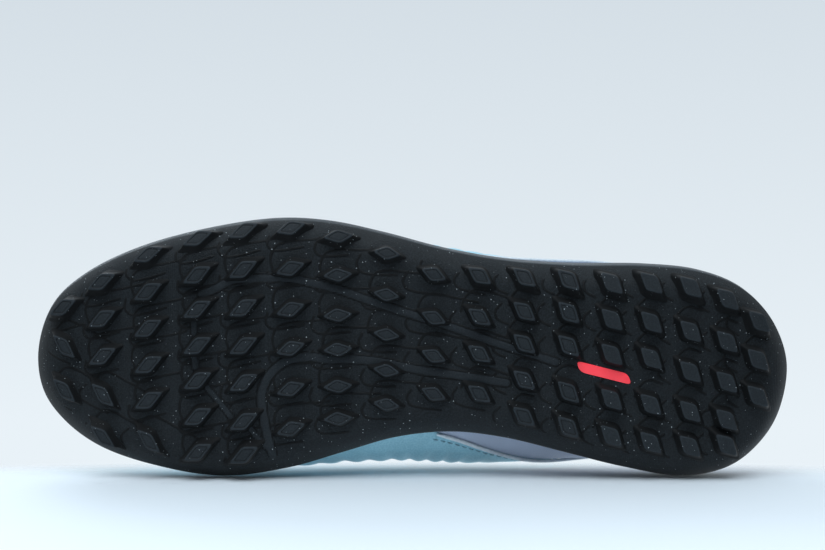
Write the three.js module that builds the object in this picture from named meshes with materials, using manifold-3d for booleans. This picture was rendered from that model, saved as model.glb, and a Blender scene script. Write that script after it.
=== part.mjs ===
// A left turf football shoe: a cup outsole with rubber lugs, the layered sole stack inside it,
// a lasted upper with its reinforcements, padding and linings, and a padded tongue.
// Millimetres, +Z up. The toe is at -X, the heel at +X, the lateral side at -Y, the medial at +Y.
// The origin lies on the ground, under the middle of the shoe's box.
import * as THREE from 'three';
import { mergeVertices } from 'three/addons/utils/BufferGeometryUtils.js';
import Module from 'manifold-3d';

const wasm = await Module();
wasm.setup();

// ---- Driving dimensions --------------------------------------------------------------------

const soleLength = 297;          // outsole, toe to heel
const soleWidth = 101.3;         // outsole, across the forefoot and the flared heel
const collarHeight = 90;         // top of the collar at the back of the heel
const lugHeight = 4.2;
const lugTaper = 0.64;           // a lug's ground face against its foot
const lugRoot = 3.4;             // how deep a lug's foot reaches into the rubber
const lugUpright = 0.35;         // how far the edge lugs turn back from the shoulder's slope
const toeSpring = 12;            // how far the toe tip lifts
const heelBevel = 3.5;           // how far the back of the heel lifts
const treadCamber = 0.2;         // how far the tread lifts over 40 mm from the ball or the heel seat
const outsoleThickness = 3.2;
const cupWall = 2.6;             // rubber wall that wraps the sides
const midsoleForefoot = 3;
const midsoleHeel = 9;
const boardThickness = 1.5;
const sockFoamThickness = 4;
const sockPlay = 1.2;            // extra room round the loose sockliner's heel
const sockClothThickness = 0.8;
const skinThickness = 1.2;       // vamp, quarters and heel panels
const overlayThickness = 1;      // eyestays and heel strip
const pipingHeight = 1.2;
const pipingWidth = 2.2;
const skinRise = 85;             // about the skin's length from the board to the collar
const stiffenerThickness = 0.9;  // toe puff and heel counter
const liningThickness = 0.8;
const collarPadding = 5;
const tongueFaceThickness = 1;
const tonguePadding = 4.5;
const eyeletDiameter = 4.4;
const eyeletPairs = 6;
const inlayThickness = 0.8;
const gap = 0.3;                 // between pieces that lie flat on each other
const layerGap = 0.45;           // between the curved layers of the upper
const curveSlack = 0.2;          // more of it where flat facets follow tight curves

// The shape tables below are drawn for this size and are graded to the dimensions above.
const pattern = { length: 297, width: 101.3, collar: 90 };
const gradeX = (x) => x * soleLength / pattern.length;
const gradeY = (y) => y * soleWidth / pattern.width;
const gradeZ = (z) => z * collarHeight / pattern.collar;

const stations = 84;             // columns around the shoe, an even number
const half = stations / 2;

// ---- Small helpers -------------------------------------------------------------------------

const mix = (a, b, k) => a + (b - a) * k;
const clamp01 = (k) => Math.min(1, Math.max(0, k));
const ease = (k) => clamp01(k) ** 2 * (3 - 2 * clamp01(k));
const between = (a, b, x) => ease((x - a) / (b - a));
const range = (n) => Array.from({ length: n }, (_, i) => i);

// A broken line through [x, y] points, read at x.
function along(points, x) {
  if (x <= points[0][0]) return points[0][1];
  for (let i = 1; i < points.length; i++) {
    if (x <= points[i][0]) {
      const [[x0, y0], [x1, y1]] = [points[i - 1], points[i]];
      return mix(y0, y1, (x - x0) / (x1 - x0));
    }
  }
  return points[points.length - 1][1];
}

// A smooth closed curve of numbers through knots { s, ...columns }, read at s in 0..1.
function closedSpline(knots, column) {
  const n = knots.length;
  const at = (i) => {
    const turn = Math.floor(i / n);
    const knot = knots[i - turn * n];
    return { s: knot.s + turn, y: knot[column] };
  };
  const slope = (i) => (at(i + 1).y - at(i - 1).y) / (at(i + 1).s - at(i - 1).s);
  return (s) => {
    const u = s - Math.floor(s);
    let i = n - 1;
    while (i > 0 && knots[i].s > u) i--;
    const [a, b] = [at(i), at(i + 1)];
    const h = b.s - a.s;
    const k = (u - a.s) / h;
    return (2 * k ** 3 - 3 * k ** 2 + 1) * a.y + (k ** 3 - 2 * k ** 2 + k) * h * slope(i)
      + (-2 * k ** 3 + 3 * k ** 2) * b.y + (k ** 3 - k ** 2) * h * slope(i + 1);
  };
}

// ---- Outline of the sole -------------------------------------------------------------------

// Once around from the toe tip, along the lateral side, round the heel and back.
const heelIndex = 16;
const outline = [
  [-148.9, 8], [-146.3, -6], [-140, -17], [-127.5, -27], [-108.7, -36], [-83.6, -43.3],
  [-52.2, -48.2], [-31.3, -47.2], [-10.4, -42.8], [12.5, -36.8], [36.6, -32.5], [62.7, -30.6],
  [92, -30.3], [112.9, -28], [129.6, -21.5], [142.1, -9], [148.4, 8], [145.8, 26.5], [139, 38.5],
  [126.4, 48.9], [107.6, 53.1], [83.6, 49.4], [59.6, 43.4], [37.6, 38], [16.7, 35.5], [-5.2, 37.4],
  [-26.1, 43.2], [-47, 49.2], [-73.1, 52.7], [-99.3, 49.2], [-123.3, 41.8], [-137.9, 32],
  [-146.3, 21.1],
].map(([x, y]) => new THREE.Vector3(gradeX(x), gradeY(y), 0));
const outlineCurve = new THREE.CatmullRomCurve3(outline, true, 'centripetal');

// Points of one half of the outline, with the share of that half's length behind each.
function measuredHalf(first, last) {
  const steps = 600;
  const points = range(steps + 1).map((i) => outlineCurve.getPoint(
    mix(first, last, i / steps) / outline.length));
  const lengths = [0];
  for (let i = 1; i <= steps; i++) lengths.push(lengths[i - 1] + points[i].distanceTo(points[i - 1]));
  return points.map((point, i) => ({ point, share: lengths[i] / lengths[steps] }));
}
const lateralHalf = measuredHalf(0, heelIndex);
const medialHalf = measuredHalf(heelIndex, outline.length);

function readHalf(points, share) {
  let [low, high] = [0, points.length - 1];
  while (high - low > 1) {
    const middle = (low + high) >> 1;
    if (points[middle].share > share) high = middle; else low = middle;
  }
  const [a, b] = [points[low], points[high]];
  return a.point.clone().lerp(b.point, (share - a.share) / (b.share - a.share));
}

// s runs once around: 0 at the toe tip, 0.5 at the back of the heel.
function edge(s) {
  const u = s - Math.floor(s);
  return u < 0.5 ? readHalf(lateralHalf, u * 2) : readHalf(medialHalf, u * 2 - 1);
}
function outward(s) {
  const along = edge(s + 0.004).sub(edge(s - 0.004));
  return new THREE.Vector3(along.y, -along.x, 0).normalize();
}
const inset = (s, distance) => edge(s).addScaledVector(outward(s), -distance);

// The station where one side of the outline passes x.
function stationAt(side, x) {
  const points = side === 'lateral' ? lateralHalf : medialHalf;
  const start = side === 'lateral' ? 0 : 0.5;
  const goal = gradeX(x);
  for (let i = 1; i < points.length; i++) {
    const [a, b] = [points[i - 1], points[i]];
    if ((a.point.x - goal) * (b.point.x - goal) <= 0 && a.point.x !== b.point.x) {
      const k = (goal - a.point.x) / (b.point.x - a.point.x);
      return start + mix(a.share, b.share, k) / 2;
    }
  }
  return x < 0 ? 0 : 0.5;
}

// ---- Heights of the sole stack -------------------------------------------------------------

const springStart = gradeX(-60);
const bevelStart = gradeX(88);
const toeEnd = outline[0].x;
const heelEnd = outline[heelIndex].x;

// The tread stands on the ball of the foot and on the heel seat, and lifts a little between.
const ballX = gradeX(-45.5);
const heelSeatX = gradeX(77);
function camber(x) {
  const level = Math.min(bevelStart, Math.max(springStart, x));
  return treadCamber * Math.min(((level - ballX) / 40) ** 2, ((level - heelSeatX) / 40) ** 2);
}

const soleBase = (x) => lugHeight + camber(x)
  + (x < springStart ? toeSpring * ((springStart - x) / (springStart - toeEnd)) ** 2 : 0)
  + (x > bevelStart ? heelBevel * ((x - bevelStart) / (heelEnd - bevelStart)) ** 2 : 0);
const midsoleThickness = (x) => mix(midsoleForefoot, midsoleHeel, between(gradeX(-45), gradeX(60), x));
const midsoleRise = (x) => outsoleThickness + gap + midsoleThickness(x);
const midsoleTop = (x) => soleBase(x) + midsoleRise(x);
const boardTop = (x) => midsoleTop(x) + gap + boardThickness;
const sockFoamTop = (x) => boardTop(x) + gap + sockFoamThickness;

// How far the rubber rim stands above the midsole, by station.
const rimLap = closedSpline([
  { s: 0, lap: 6.5 }, { s: stationAt('lateral', -100), lap: 4.8 }, { s: 0.25, lap: 4.5 },
  { s: stationAt('lateral', 100), lap: 5.5 }, { s: 0.5, lap: 7 },
  { s: stationAt('medial', 90), lap: 5 }, { s: stationAt('medial', 15), lap: 3.6 },
  { s: stationAt('medial', -90), lap: 4.8 },
], 'lap');
const rimTop = (s) => midsoleTop(edge(s).x) + rimLap(s);

// The rounded shoulder of the outsole: distance in from the outline, height above the base.
const shoulder = [[0.5, 8.4], [2, 5.4], [5, 2.4], [9, 0.6], [14, 0]];
const shoulderHeight = (distance) => along(shoulder, distance);
// The inside of the rubber cup at a height above the base: distance in from the outline.
const cup = { floorInset: 10, cornerInset: 5, cornerRise: 2, wallRise: 5.6 };
const cupInset = (rise) => along([
  [outsoleThickness, cup.floorInset], [outsoleThickness + cup.cornerRise, cup.cornerInset],
  [outsoleThickness + cup.wallRise, cupWall],
], rise);

// ---- Closed solids from rings and grids ----------------------------------------------------

function geometryFrom(points, triangles) {
  const geometry = new THREE.BufferGeometry();
  geometry.setAttribute('position', new THREE.Float32BufferAttribute(points.flatMap((p) => p.toArray()), 3));
  geometry.setIndex(triangles.flat());
  return geometry;
}

// Rings around the shoe, each a function of the station, from the bottom face up to the top
// face. Both faces are filled across, from the lateral to the medial side.
function stack(rings) {
  const points = rings.flatMap((ring) => range(stations).map((i) => ring(i / stations)));
  const triangles = [];
  const id = (ring, i) => ring * stations + (i + stations) % stations;
  for (let r = 0; r + 1 < rings.length; r++) {
    for (let i = 0; i < stations; i++) {
      triangles.push([id(r, i), id(r, i + 1), id(r + 1, i + 1)]);
      triangles.push([id(r, i), id(r + 1, i + 1), id(r + 1, i)]);
    }
  }
  const last = rings.length - 1;
  for (let i = 0; i < half; i++) {
    const [a, b, c, d] = [i, i + 1, stations - i - 1, stations - i];
    if (b !== c) triangles.push([id(0, a), id(0, c), id(0, b)], [id(last, a), id(last, b), id(last, c)]);
    if (i > 0) triangles.push([id(0, a), id(0, d), id(0, c)], [id(last, a), id(last, c), id(last, d)]);
  }
  return geometryFrom(points, triangles);
}

// A ring at a height above the sole's base, or at a height of its own, inset from the outline.
const ringAt = (distance, height) => (s) => {
  const point = inset(s, typeof distance === 'function' ? distance(s) : distance);
  point.z = height(s, point.x);
  return point;
};
const aboveBase = (rise) => (s, x) => soleBase(x) + rise;

// A surface's outward normal, by small steps.
function normalOf(surface, s, v) {
  const step = 0.002;
  const alongS = surface(s + step, v).sub(surface(s - step, v));
  const alongV = surface(s, Math.min(1, v + step)).sub(surface(s, Math.max(-1, v - step)));
  return alongS.cross(alongV).normalize();
}

// A curved plate on a surface: columns run from one seam to the other, rows from low to high.
// Seams are functions of the row, rows are numbers or functions of the station, and the two
// faces are offsets from the surface along its normal. A closed plate runs all the way round.
function plate(surface, { from, to, rows, columns, outer, inner, closed = false }) {
  const count = closed ? columns : columns + 1;
  const seam = (value, v) => (typeof value === 'function' ? value(v) : value);
  const points = [];
  for (const face of [outer, inner]) {
    for (const row of rows) {
      for (let i = 0; i < count; i++) {
        const guess = typeof row === 'function' ? 0.05 : row;
        const s = closed ? from + i / columns : mix(seam(from, guess), seam(to, guess), i / columns);
        const v = typeof row === 'function' ? row(s) : row;
        const offset = typeof face === 'function' ? face(s, v, i / columns) : face;
        points.push(surface(s, v).addScaledVector(normalOf(surface, s, v), offset));
      }
    }
  }
  const layer = rows.length * count;
  const id = (side, r, i) => side * layer + r * count + (closed ? i % count : i);
  const triangles = [];
  const quad = (a, b, c, d) => triangles.push([a, b, c], [a, c, d]);
  const last = rows.length - 1;
  for (let i = 0; i < columns; i++) {
    for (let r = 0; r < last; r++) {
      quad(id(0, r, i), id(0, r, i + 1), id(0, r + 1, i + 1), id(0, r + 1, i));
      quad(id(1, r, i), id(1, r + 1, i), id(1, r + 1, i + 1), id(1, r, i + 1));
    }
    quad(id(0, 0, i), id(1, 0, i), id(1, 0, i + 1), id(0, 0, i + 1));
    quad(id(0, last, i), id(0, last, i + 1), id(1, last, i + 1), id(1, last, i));
  }
  if (!closed) {
    for (let r = 0; r < last; r++) {
      quad(id(0, r, 0), id(0, r + 1, 0), id(1, r + 1, 0), id(1, r, 0));
      quad(id(0, r, columns), id(1, r, columns), id(1, r + 1, columns), id(0, r + 1, columns));
    }
  }
  return geometryFrom(points, triangles);
}

// ---- Joining and cutting -------------------------------------------------------------------

function solidOf(geometry) {
  const bare = geometry.clone();
  bare.deleteAttribute('normal');
  bare.deleteAttribute('uv');
  const merged = mergeVertices(bare, 1e-4);
  return new wasm.Manifold(new wasm.Mesh({
    numProp: 3,
    vertProperties: new Float32Array(merged.attributes.position.array),
    triVerts: new Uint32Array(merged.index.array),
  }));
}

function geometryOf(solid) {
  const mesh = solid.getMesh();
  const geometry = new THREE.BufferGeometry();
  const positions = new Float32Array(mesh.numVert * 3);
  for (let i = 0; i < mesh.numVert; i++) {
    positions.set(mesh.vertProperties.subarray(i * mesh.numProp, i * mesh.numProp + 3), i * 3);
  }
  geometry.setAttribute('position', new THREE.BufferAttribute(positions, 3));
  geometry.setIndex([...mesh.triVerts]);
  return geometry;
}

// ---- Outsole -------------------------------------------------------------------------------

// Lug rows from toe to heel: each row's x, and its lugs from the lateral to the medial side.
const treadRows = [
  [-133.5, [-13, 1.5, 18.5]],
  [-118, [-23, -9.5, 5, 20, 35.5]],
  [-100, [-33, -20, -6, 8, 21.7, 37.3]],
  [-81, [-39, -26.5, -13.4, 0.5, 13.9, 27.7, 41.2]],
  [-63.5, [-42, -28.6, -14, 0.5, 14.6, 29.5, 42]],
  [-45.5, [-43, -29, -13.4, 1.5, 17, 32.3]],
  [-27.5, [-40, -26.5, -11.2, 1.9, 16, 28.4]],
  [-9, [-34, -19, -3.8, 10, 23]],
  [9, [-26.5, -10.2, 4.4, 18.9]],
  [26.5, [-25.4, -10.5, 3.6, 18.9]],
  [43.6, [-24.5, -12.6, -0.3, 13.6, 27.4]],
  [60.5, [-23.5, -12.2, 0.5, 18.2, 31.5]],
  [77, [-22.5, -9.5, 3.8, 21, 35]],
  [92, [-22.5, -8.5, 5.3, 23, 37.5]],
  [107, [-21, -5, 10.5, 25.7, 39]],
  [121, [-16.5, -1, 14.5, 29, 38.5]],
  [133, [-8, 6, 20]],
];
// A lug's foot is a parallelogram. Its two sides turn from the forefoot to the heel.
const lugSides = [
  { x: -60, a: [8.5, 0], b: [6.9, -8.7] },
  { x: -27, a: [8.9, 3.1], b: [7.2, -4.4] },
  { x: -9, a: [6.8, 4.8], b: [7.9, -2.4] },
  { x: 25, a: [4, 8], b: [8.6, 0.8] },
  { x: 60, a: [2.8, 9.4], b: [8.8, 2.2] },
];
const toeLugSides = { a: [4.6, 9.8], b: [8, 2.6] };
// Lugs on the medial side of the toe, past this line, lean the other way.
const toeTurn = { x: -133.5, y: -1, slope: 0.9 };

function sidesAt(x, y) {
  if (y > toeTurn.y + toeTurn.slope * (x - toeTurn.x)) return toeLugSides;
  const read = (side, axis) => along(lugSides.map((row) => [row.x, row[side][axis]]), x);
  return { a: [read('a', 0), read('a', 1)], b: [read('b', 0), read('b', 1)] };
}

const edgePoints = range(stations * 4).map((i) => edge(i / stations / 4));
function soleSurface(x, y) {
  const here = new THREE.Vector3(x, y, 0);
  const distance = Math.min(...edgePoints.map((point) => point.distanceTo(here)));
  return new THREE.Vector3(x, y, soleBase(x) + shoulderHeight(distance));
}

// The corners of a parallelogram around a centre.
const lozenge = ({ a, b }, scale) => [[-1, -1], [1, -1], [1, 1], [-1, 1]].map(([i, j]) =>
  new THREE.Vector2(a[0] * i + b[0] * j, a[1] * i + b[1] * j).multiplyScalar(scale / 2));

// A prism between two like outlines, each placed by its own function, first one lowest.
function prism(outlineLow, placeLow, outlineHigh, placeHigh) {
  const n = outlineLow.length;
  const points = [...outlineLow.map(placeLow), ...outlineHigh.map(placeHigh)];
  const triangles = [];
  for (let i = 0; i < n; i++) {
    const j = (i + 1) % n;
    triangles.push([i, j, n + j], [i, n + j, n + i]);
    if (i > 0 && i < n - 1) triangles.push([0, i + 1, i], [n, n + i, n + i + 1]);
  }
  const geometry = geometryFrom(points, triangles);
  const solid = solidOf(geometry);
  if (solid.volume() > 0) return solid;
  return solidOf(geometryFrom(points, triangles.map(([p, q, r]) => [p, r, q])));
}

function lug(patternX, patternY) {
  const [x, y] = [gradeX(patternX), gradeY(patternY)];
  const centre = soleSurface(x, y);
  const step = 2.5;
  const alongX = soleSurface(x + step, y).sub(soleSurface(x - step, y));
  const alongY = soleSurface(x, y + step).sub(soleSurface(x, y - step));
  const down = alongY.clone().cross(alongX).normalize();
  down.lerp(new THREE.Vector3(0, 0, -1), lugUpright).normalize();
  const flatX = alongX.addScaledVector(down, -alongX.dot(down)).normalize();
  const flatY = down.clone().cross(flatX);
  if (flatY.y < 0) flatY.negate();
  const sides = sidesAt(patternX, patternY);
  const place = (depth) => (p) => centre.clone().addScaledVector(flatX, p.x)
    .addScaledVector(flatY, p.y).addScaledVector(down, depth);
  const rootScale = 1 + (1 - lugTaper) * lugRoot / lugHeight * 0.5;
  return prism(lozenge(sides, rootScale), place(-lugRoot), lozenge(sides, lugTaper), place(lugHeight));
}

// The inlay: a flat lozenge let into the tread between two rows of heel lugs.
const inlay = { x: 74.5, y: 11.2, a: [20, 5], b: [1.6, 4.4] };
function inlayPrism(grow, low, high) {
  const shape = lozenge(inlay, 1).map((p) => p.clone().setLength(p.length() + grow));
  const [cx, cy] = [gradeX(inlay.x), gradeY(inlay.y)];
  const place = (z) => (p) => new THREE.Vector3(cx + p.x, cy + p.y, z);
  return prism(shape, place(low), shape, place(high));
}

function outsole() {
  const outer = solidOf(stack([
    ...shoulder.slice().reverse().map(([distance, rise]) => ringAt(distance, aboveBase(rise))),
    ringAt(0, (s) => rimTop(s)),
  ]));
  const corner = outsoleThickness + cup.cornerRise;
  const wall = outsoleThickness + cup.wallRise;
  const cavity = solidOf(stack([
    ringAt(cup.floorInset, aboveBase(outsoleThickness)),
    ringAt(cup.cornerInset, aboveBase(corner)),
    ringAt(cupWall, aboveBase(wall)),
    ringAt(cupWall, (s) => rimTop(s) + lugHeight),
  ]));
  let body = outer;
  for (const [x, row] of treadRows) {
    for (const y of row) body = body.add(lug(x, y));
  }
  const pocket = inlayPrism(gap, lugHeight - 1, lugHeight + inlayThickness + gap);
  const ground = new THREE.BoxGeometry(soleLength * 2, soleWidth * 2, lugHeight);
  ground.translate(0, 0, -lugHeight / 2);
  return geometryOf(body.subtract(cavity).subtract(pocket).subtract(solidOf(ground)));
}

const outsoleInlay = () => geometryOf(inlayPrism(0, lugHeight, lugHeight + inlayThickness));

// ---- Sole stack ----------------------------------------------------------------------------

function midsole() {
  const clear = layerGap;
  const topInset = (s) => cupInset(midsoleRise(edge(s).x)) + clear;
  const low = outsoleThickness + gap;
  const cornerRise = low + cup.cornerRise;
  const middleRise = (x) => Math.min(outsoleThickness + cup.wallRise + gap, (cornerRise + midsoleRise(x)) / 2);
  return stack([
    ringAt(cup.floorInset + clear, aboveBase(low)),
    ringAt(cup.cornerInset + clear, aboveBase(cornerRise)),
    ringAt((s) => cupInset(middleRise(edge(s).x)) + clear, (s, x) => soleBase(x) + middleRise(x)),
    ringAt(topInset, (s, x) => midsoleTop(x)),
  ]);
}

// Where the upper's skin starts, on top of the midsole and just inside the rubber wall.
const footInset = (s) => cupInset(midsoleRise(edge(s).x)) + layerGap + 0.1;
const flatPiece = (distance, bottom, top) => stack([ringAt(distance, bottom), ringAt(distance, top)]);

const boardInset = (s) => footInset(s) + skinThickness + layerGap + curveSlack;
const sockInset = (s) => footInset(s) + liningDepth(s, 0.05) + liningThickness + layerGap
  + sockPlay * between(0.3, 0.42, aroundToe(s));

// ---- The upper's surface -------------------------------------------------------------------

// Each row: where the outline passes, the opening's edge (x, half width, height), the lower
// handle (outward, up) on each side, and the upper handle (outward, up).
const last = [
  { at: -142.5, top: [-60, 0, 58.5], lateral: [3, 13], medial: [3, 13], high: [40, 0] },
  { at: -128, top: [-58.5, 5.5, 58.5], lateral: [3, 13], medial: [3, 13], high: [34, 0] },
  { at: -105, top: [-52, 11, 60], lateral: [3, 14], medial: [4, 15], high: [26, 0] },
  { at: -75, top: [-38, 13, 65], lateral: [3, 16], medial: [5, 18], high: [22, -4] },
  { at: -40, top: [-19, 14, 73], lateral: [4, 19], medial: [19, 20], high: [24, -10] },
  { at: -10, top: [-2, 15.5, 81], lateral: [5, 22], medial: [33, 18], high: [26, -17] },
  { at: 20, top: [13, 18, 88], lateral: [7, 24], medial: [39, 16], high: [23, -26] },
  { at: 45, top: [33, 25, 84], lateral: [6, 24], medial: [33, 18], high: [13, -27] },
  { at: 75, top: [65, 29, 72], lateral: [6, 20], medial: [14, 20], high: [4, -20] },
  { at: 105, top: [98, 26, 69], lateral: [8, 18], medial: [7, 18], high: [1, -19] },
  { at: 128, top: [121, 18.5, 78], lateral: [9, 19], medial: [8, 19], high: [-3, -24] },
  { at: 142, top: [130.5, 0, 89], lateral: [10, 18], medial: [10, 18], high: [-6, -26] },
];
// The middle of the opening drifts toward the medial side.
const openingMiddle = [[-60, 5], [-38, 3.5], [0, 2.5], [33, 4], [65, 6.5], [98, 8.5], [131, 8.5]];

const lastKnot = (row, side) => ({
  s: stationAt(side, row.at),
  x: gradeX(row.top[0]),
  y: gradeY(along(openingMiddle, row.top[0]) + (side === 'lateral' ? -1 : 1) * row.top[1]),
  z: gradeZ(row.top[2]),
  lowOut: row[side][0],
  lowUp: row[side][1],
  highOut: row.high[0],
  highUp: row.high[1],
});
const inner = last.slice(1, -1);
const lastKnots = [
  { ...lastKnot(last[0], 'lateral'), s: 0 },
  ...inner.map((row) => lastKnot(row, 'lateral')),
  { ...lastKnot(last[last.length - 1], 'lateral'), s: 0.5 },
  ...inner.slice().reverse().map((row) => lastKnot(row, 'medial')),
];
const lastAt = Object.fromEntries(['x', 'y', 'z', 'lowOut', 'lowUp', 'highOut', 'highUp']
  .map((column) => [column, closedSpline(lastKnots, column)]));

// The skin rises straight behind the rubber wall up to this row, then follows the last.
const rimRow = 0.08;
const rimClearance = 0.7;

function upper(s, v) {
  const foot = inset(s, footInset(s));
  foot.z = midsoleTop(edge(s).x) + gap;
  const rim = inset(s, cupWall + layerGap);
  rim.z = rimTop(s) + rimClearance;
  if (v < rimRow) return foot.lerp(rim, v / rimRow);
  const out = outward(s);
  const low = rim.clone().addScaledVector(out, lastAt.lowOut(s));
  low.z += lastAt.lowUp(s);
  const top = new THREE.Vector3(lastAt.x(s), lastAt.y(s), lastAt.z(s));
  const high = top.clone().addScaledVector(out, lastAt.highOut(s));
  high.z += lastAt.highUp(s);
  return new THREE.CubicBezierCurve3(rim, low, high, top).getPoint((v - rimRow) / (1 - rimRow));
}

const skinRows = [0, 0.08, 0.15, 0.22, 0.3, 0.38, 0.46, 0.54, 0.61, 0.68, 0.78, 0.86, 0.93, 1];
const rowsBetween = (low, high) => [low, ...skinRows.filter((v) => v > low + 0.02 && v < high - 0.02), high];

// Stations that the seams and openings are set out from.
const at = (side, x) => stationAt(side, x);
const vampSeam = { lateral: at('lateral', -58), medial: at('medial', -58) };
const seamGap = 0.0006;          // half a seam's gap, as a share of the way round

// The lavender heel panel's front edge sweeps back from the arch as it rises, and then stands up.
const sweepStart = 0.12;
const sweepX = { low: 10.5, high: 102 };
const sweep = (v) => mix(sweepX.low, sweepX.high,
  1 - (1 - clamp01((v - sweepStart) / (1 - sweepStart))) ** 3.6);
const panelSeam = {
  lateral: (v) => at('lateral', sweep(v)),
  medial: (v) => at('medial', sweep(v)),
};

const skinFaces = { outer: 0, inner: -skinThickness };

const vamp = () => plate(upper, {
  from: vampSeam.medial - 1 + seamGap, to: vampSeam.lateral - seamGap,
  rows: skinRows, columns: 30, ...skinFaces,
});

// ---- Eyelets -------------------------------------------------------------------------------

const eyeletRow = 0.925;
const eyeletStations = (side) => range(eyeletPairs).map((k) => mix(
  at(side, -84), at(side, 12), k / (eyeletPairs - 1)));

function eyeletCutters(side) {
  return eyeletStations(side).map((s) => {
    const centre = upper(s, eyeletRow);
    const axis = normalOf(upper, s, eyeletRow);
    const cylinder = new THREE.CylinderGeometry(eyeletDiameter / 2, eyeletDiameter / 2, 9, 10);
    cylinder.applyQuaternion(new THREE.Quaternion().setFromUnitVectors(new THREE.Vector3(0, 1, 0), axis));
    cylinder.translate(...centre.toArray());
    return solidOf(cylinder);
  });
}
function withEyelets(geometry, side) {
  let solid = solidOf(geometry);
  for (const cutter of eyeletCutters(side)) solid = solid.subtract(cutter);
  return geometryOf(solid);
}

// ---- Upper panels --------------------------------------------------------------------------

function sidePlate(side, { front, back, ...rest }) {
  const first = side === 'lateral' ? front : back;
  const second = side === 'lateral' ? back : front;
  return plate(upper, { from: first, to: second, ...rest });
}

const quarter = (side) => withEyelets(sidePlate(side, {
  front: vampSeam[side] + (side === 'lateral' ? seamGap : -seamGap),
  back: (v) => panelSeam[side](v) + (side === 'lateral' ? -seamGap : seamGap),
  rows: skinRows, columns: 16, ...skinFaces,
}), side);

const heelPanel = (side) => sidePlate(side, {
  front: (v) => panelSeam[side](v) + (side === 'lateral' ? seamGap : -seamGap),
  back: 0.5 + (side === 'lateral' ? -seamGap : seamGap),
  rows: skinRows, columns: 18, ...skinFaces,
});

// A share of the way round that is about this many millimetres on the outline.
const aroundLength = range(stations).reduce(
  (sum, i) => sum + edge(i / stations).distanceTo(edge((i + 1) / stations)), 0);
const share = (millimetres) => millimetres / aroundLength;

// Measured level, a leaning cord is wider than it is across.
const sweepSlope = (v) => (sweep(v + 0.02) - sweep(v - 0.02)) / (0.04 * skinRise);
const pipingHalf = (v) => share(pipingWidth / 2 * Math.hypot(1, sweepSlope(v)));

const piping = (side) => plate(upper, {
  from: (v) => panelSeam[side](v) - pipingHalf(v),
  to: (v) => panelSeam[side](v) + pipingHalf(v),
  rows: rowsBetween(0.12, 0.99), columns: 2,
  outer: (s, v, k) => gap + mix(0.3, pipingHeight, 1 - Math.abs(2 * k - 1)),
  inner: gap,
});

const eyestay = (side) => withEyelets(sidePlate(side, {
  front: at(side, -98), back: at(side, 24),
  rows: [0.84, 0.86, 0.93, 0.998], columns: 18,
  outer: gap + overlayThickness, inner: gap,
}), side);

const heelStripHalf = (v) => share(mix(9, 6, v));   // narrower at the top
const heelStrip = () => plate(upper, {
  from: (v) => 0.5 - heelStripHalf(v), to: (v) => 0.5 + heelStripHalf(v),
  rows: rowsBetween(0.12, 0.985), columns: 4, outer: gap + overlayThickness, inner: gap,
});

// ---- Stiffeners, padding and linings -------------------------------------------------------

const aroundToe = (s) => Math.min(s - Math.floor(s), 1 - (s - Math.floor(s)));
const aroundHeel = (s) => Math.abs(s - Math.floor(s) - 0.5);
const stiffenerDepth = skinThickness + layerGap + curveSlack;
const stiffenerSpace = stiffenerThickness + layerGap + 2 * curveSlack;
const toePuffReach = 0.1;
const heelCounterReach = 0.12;
const collarReach = 0.5 - at('lateral', 30);

// The collar's padding, thickest under its top edge and fading out below and in front.
function padding(s, v) {
  const round = between(collarReach, collarReach - 0.07, aroundHeel(s));
  const upright = between(0.42, 0.78, v) * mix(1, 0.35, between(0.86, 1, v));
  return collarPadding * round * upright;
}
const foamLow = 0.78;
const foamEdge = 0.6;
const foamEndGap = 0.035;        // how far round the foam stops short of the collar's front ends
const foamPresence = (s, v) => between(collarReach, collarReach - 0.03, aroundHeel(s))
  * between(foamLow - 0.1, foamLow - 0.01, v);
const besideCounter = (s, v) => between(heelCounterReach + 0.06, heelCounterReach + 0.01, aroundHeel(s))
  * between(0.86, 0.72, v);
// How deep below the skin's outer face the lining lies.
function liningDepth(s, v) {
  const toe = between(toePuffReach + 0.05, toePuffReach + 0.01, aroundToe(s)) * between(0.8, 0.68, v);
  const heel = besideCounter(s, v);
  return stiffenerDepth + stiffenerSpace * Math.max(toe, heel) + padding(s, v)
    + (foamEdge + layerGap) * foamPresence(s, v);
}
const liningFaces = {
  outer: (s, v) => -liningDepth(s, v),
  inner: (s, v) => -liningDepth(s, v) - liningThickness,
};
// The linings stand on the board.
function liningFoot(s) {
  const x = edge(s).x;
  const rise = boardThickness + gap;
  return rimRow * rise / (rimTop(s) + rimClearance - midsoleTop(x) - gap);
}
const liningRows = (high) => [liningFoot, ...skinRows.filter((v) => v > 0.05 && v < high - 0.02), high];

const toePuff = () => plate(upper, {
  from: -toePuffReach, to: toePuffReach, rows: rowsBetween(0.1, 0.64), columns: 20,
  outer: -stiffenerDepth, inner: -stiffenerDepth - stiffenerThickness,
});
const heelCounter = () => plate(upper, {
  from: 0.5 - heelCounterReach, to: 0.5 + heelCounterReach, rows: rowsBetween(0.06, 0.68), columns: 22,
  outer: -stiffenerDepth, inner: -stiffenerDepth - stiffenerThickness,
});
const collarFoam = () => plate(upper, {
  from: 0.5 - collarReach + foamEndGap, to: 0.5 + collarReach - foamEndGap, rows: [foamLow, 0.86, 0.93, 0.985],
  columns: 26,
  outer: (s, v) => -stiffenerDepth - stiffenerSpace * besideCounter(s, v),
  inner: (s, v) => -stiffenerDepth - stiffenerSpace * besideCounter(s, v) - foamEdge - padding(s, v),
});
const liningSplit = { lateral: at('lateral', 22), medial: at('medial', 22) };
const vampLining = () => plate(upper, {
  from: liningSplit.medial - 1 + seamGap, to: liningSplit.lateral - seamGap,
  rows: liningRows(0.86), columns: 46, ...liningFaces,
});
const collarLining = () => plate(upper, {
  from: liningSplit.lateral + seamGap, to: liningSplit.medial - seamGap,
  rows: liningRows(0.985), columns: 36, ...liningFaces,
});

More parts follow.
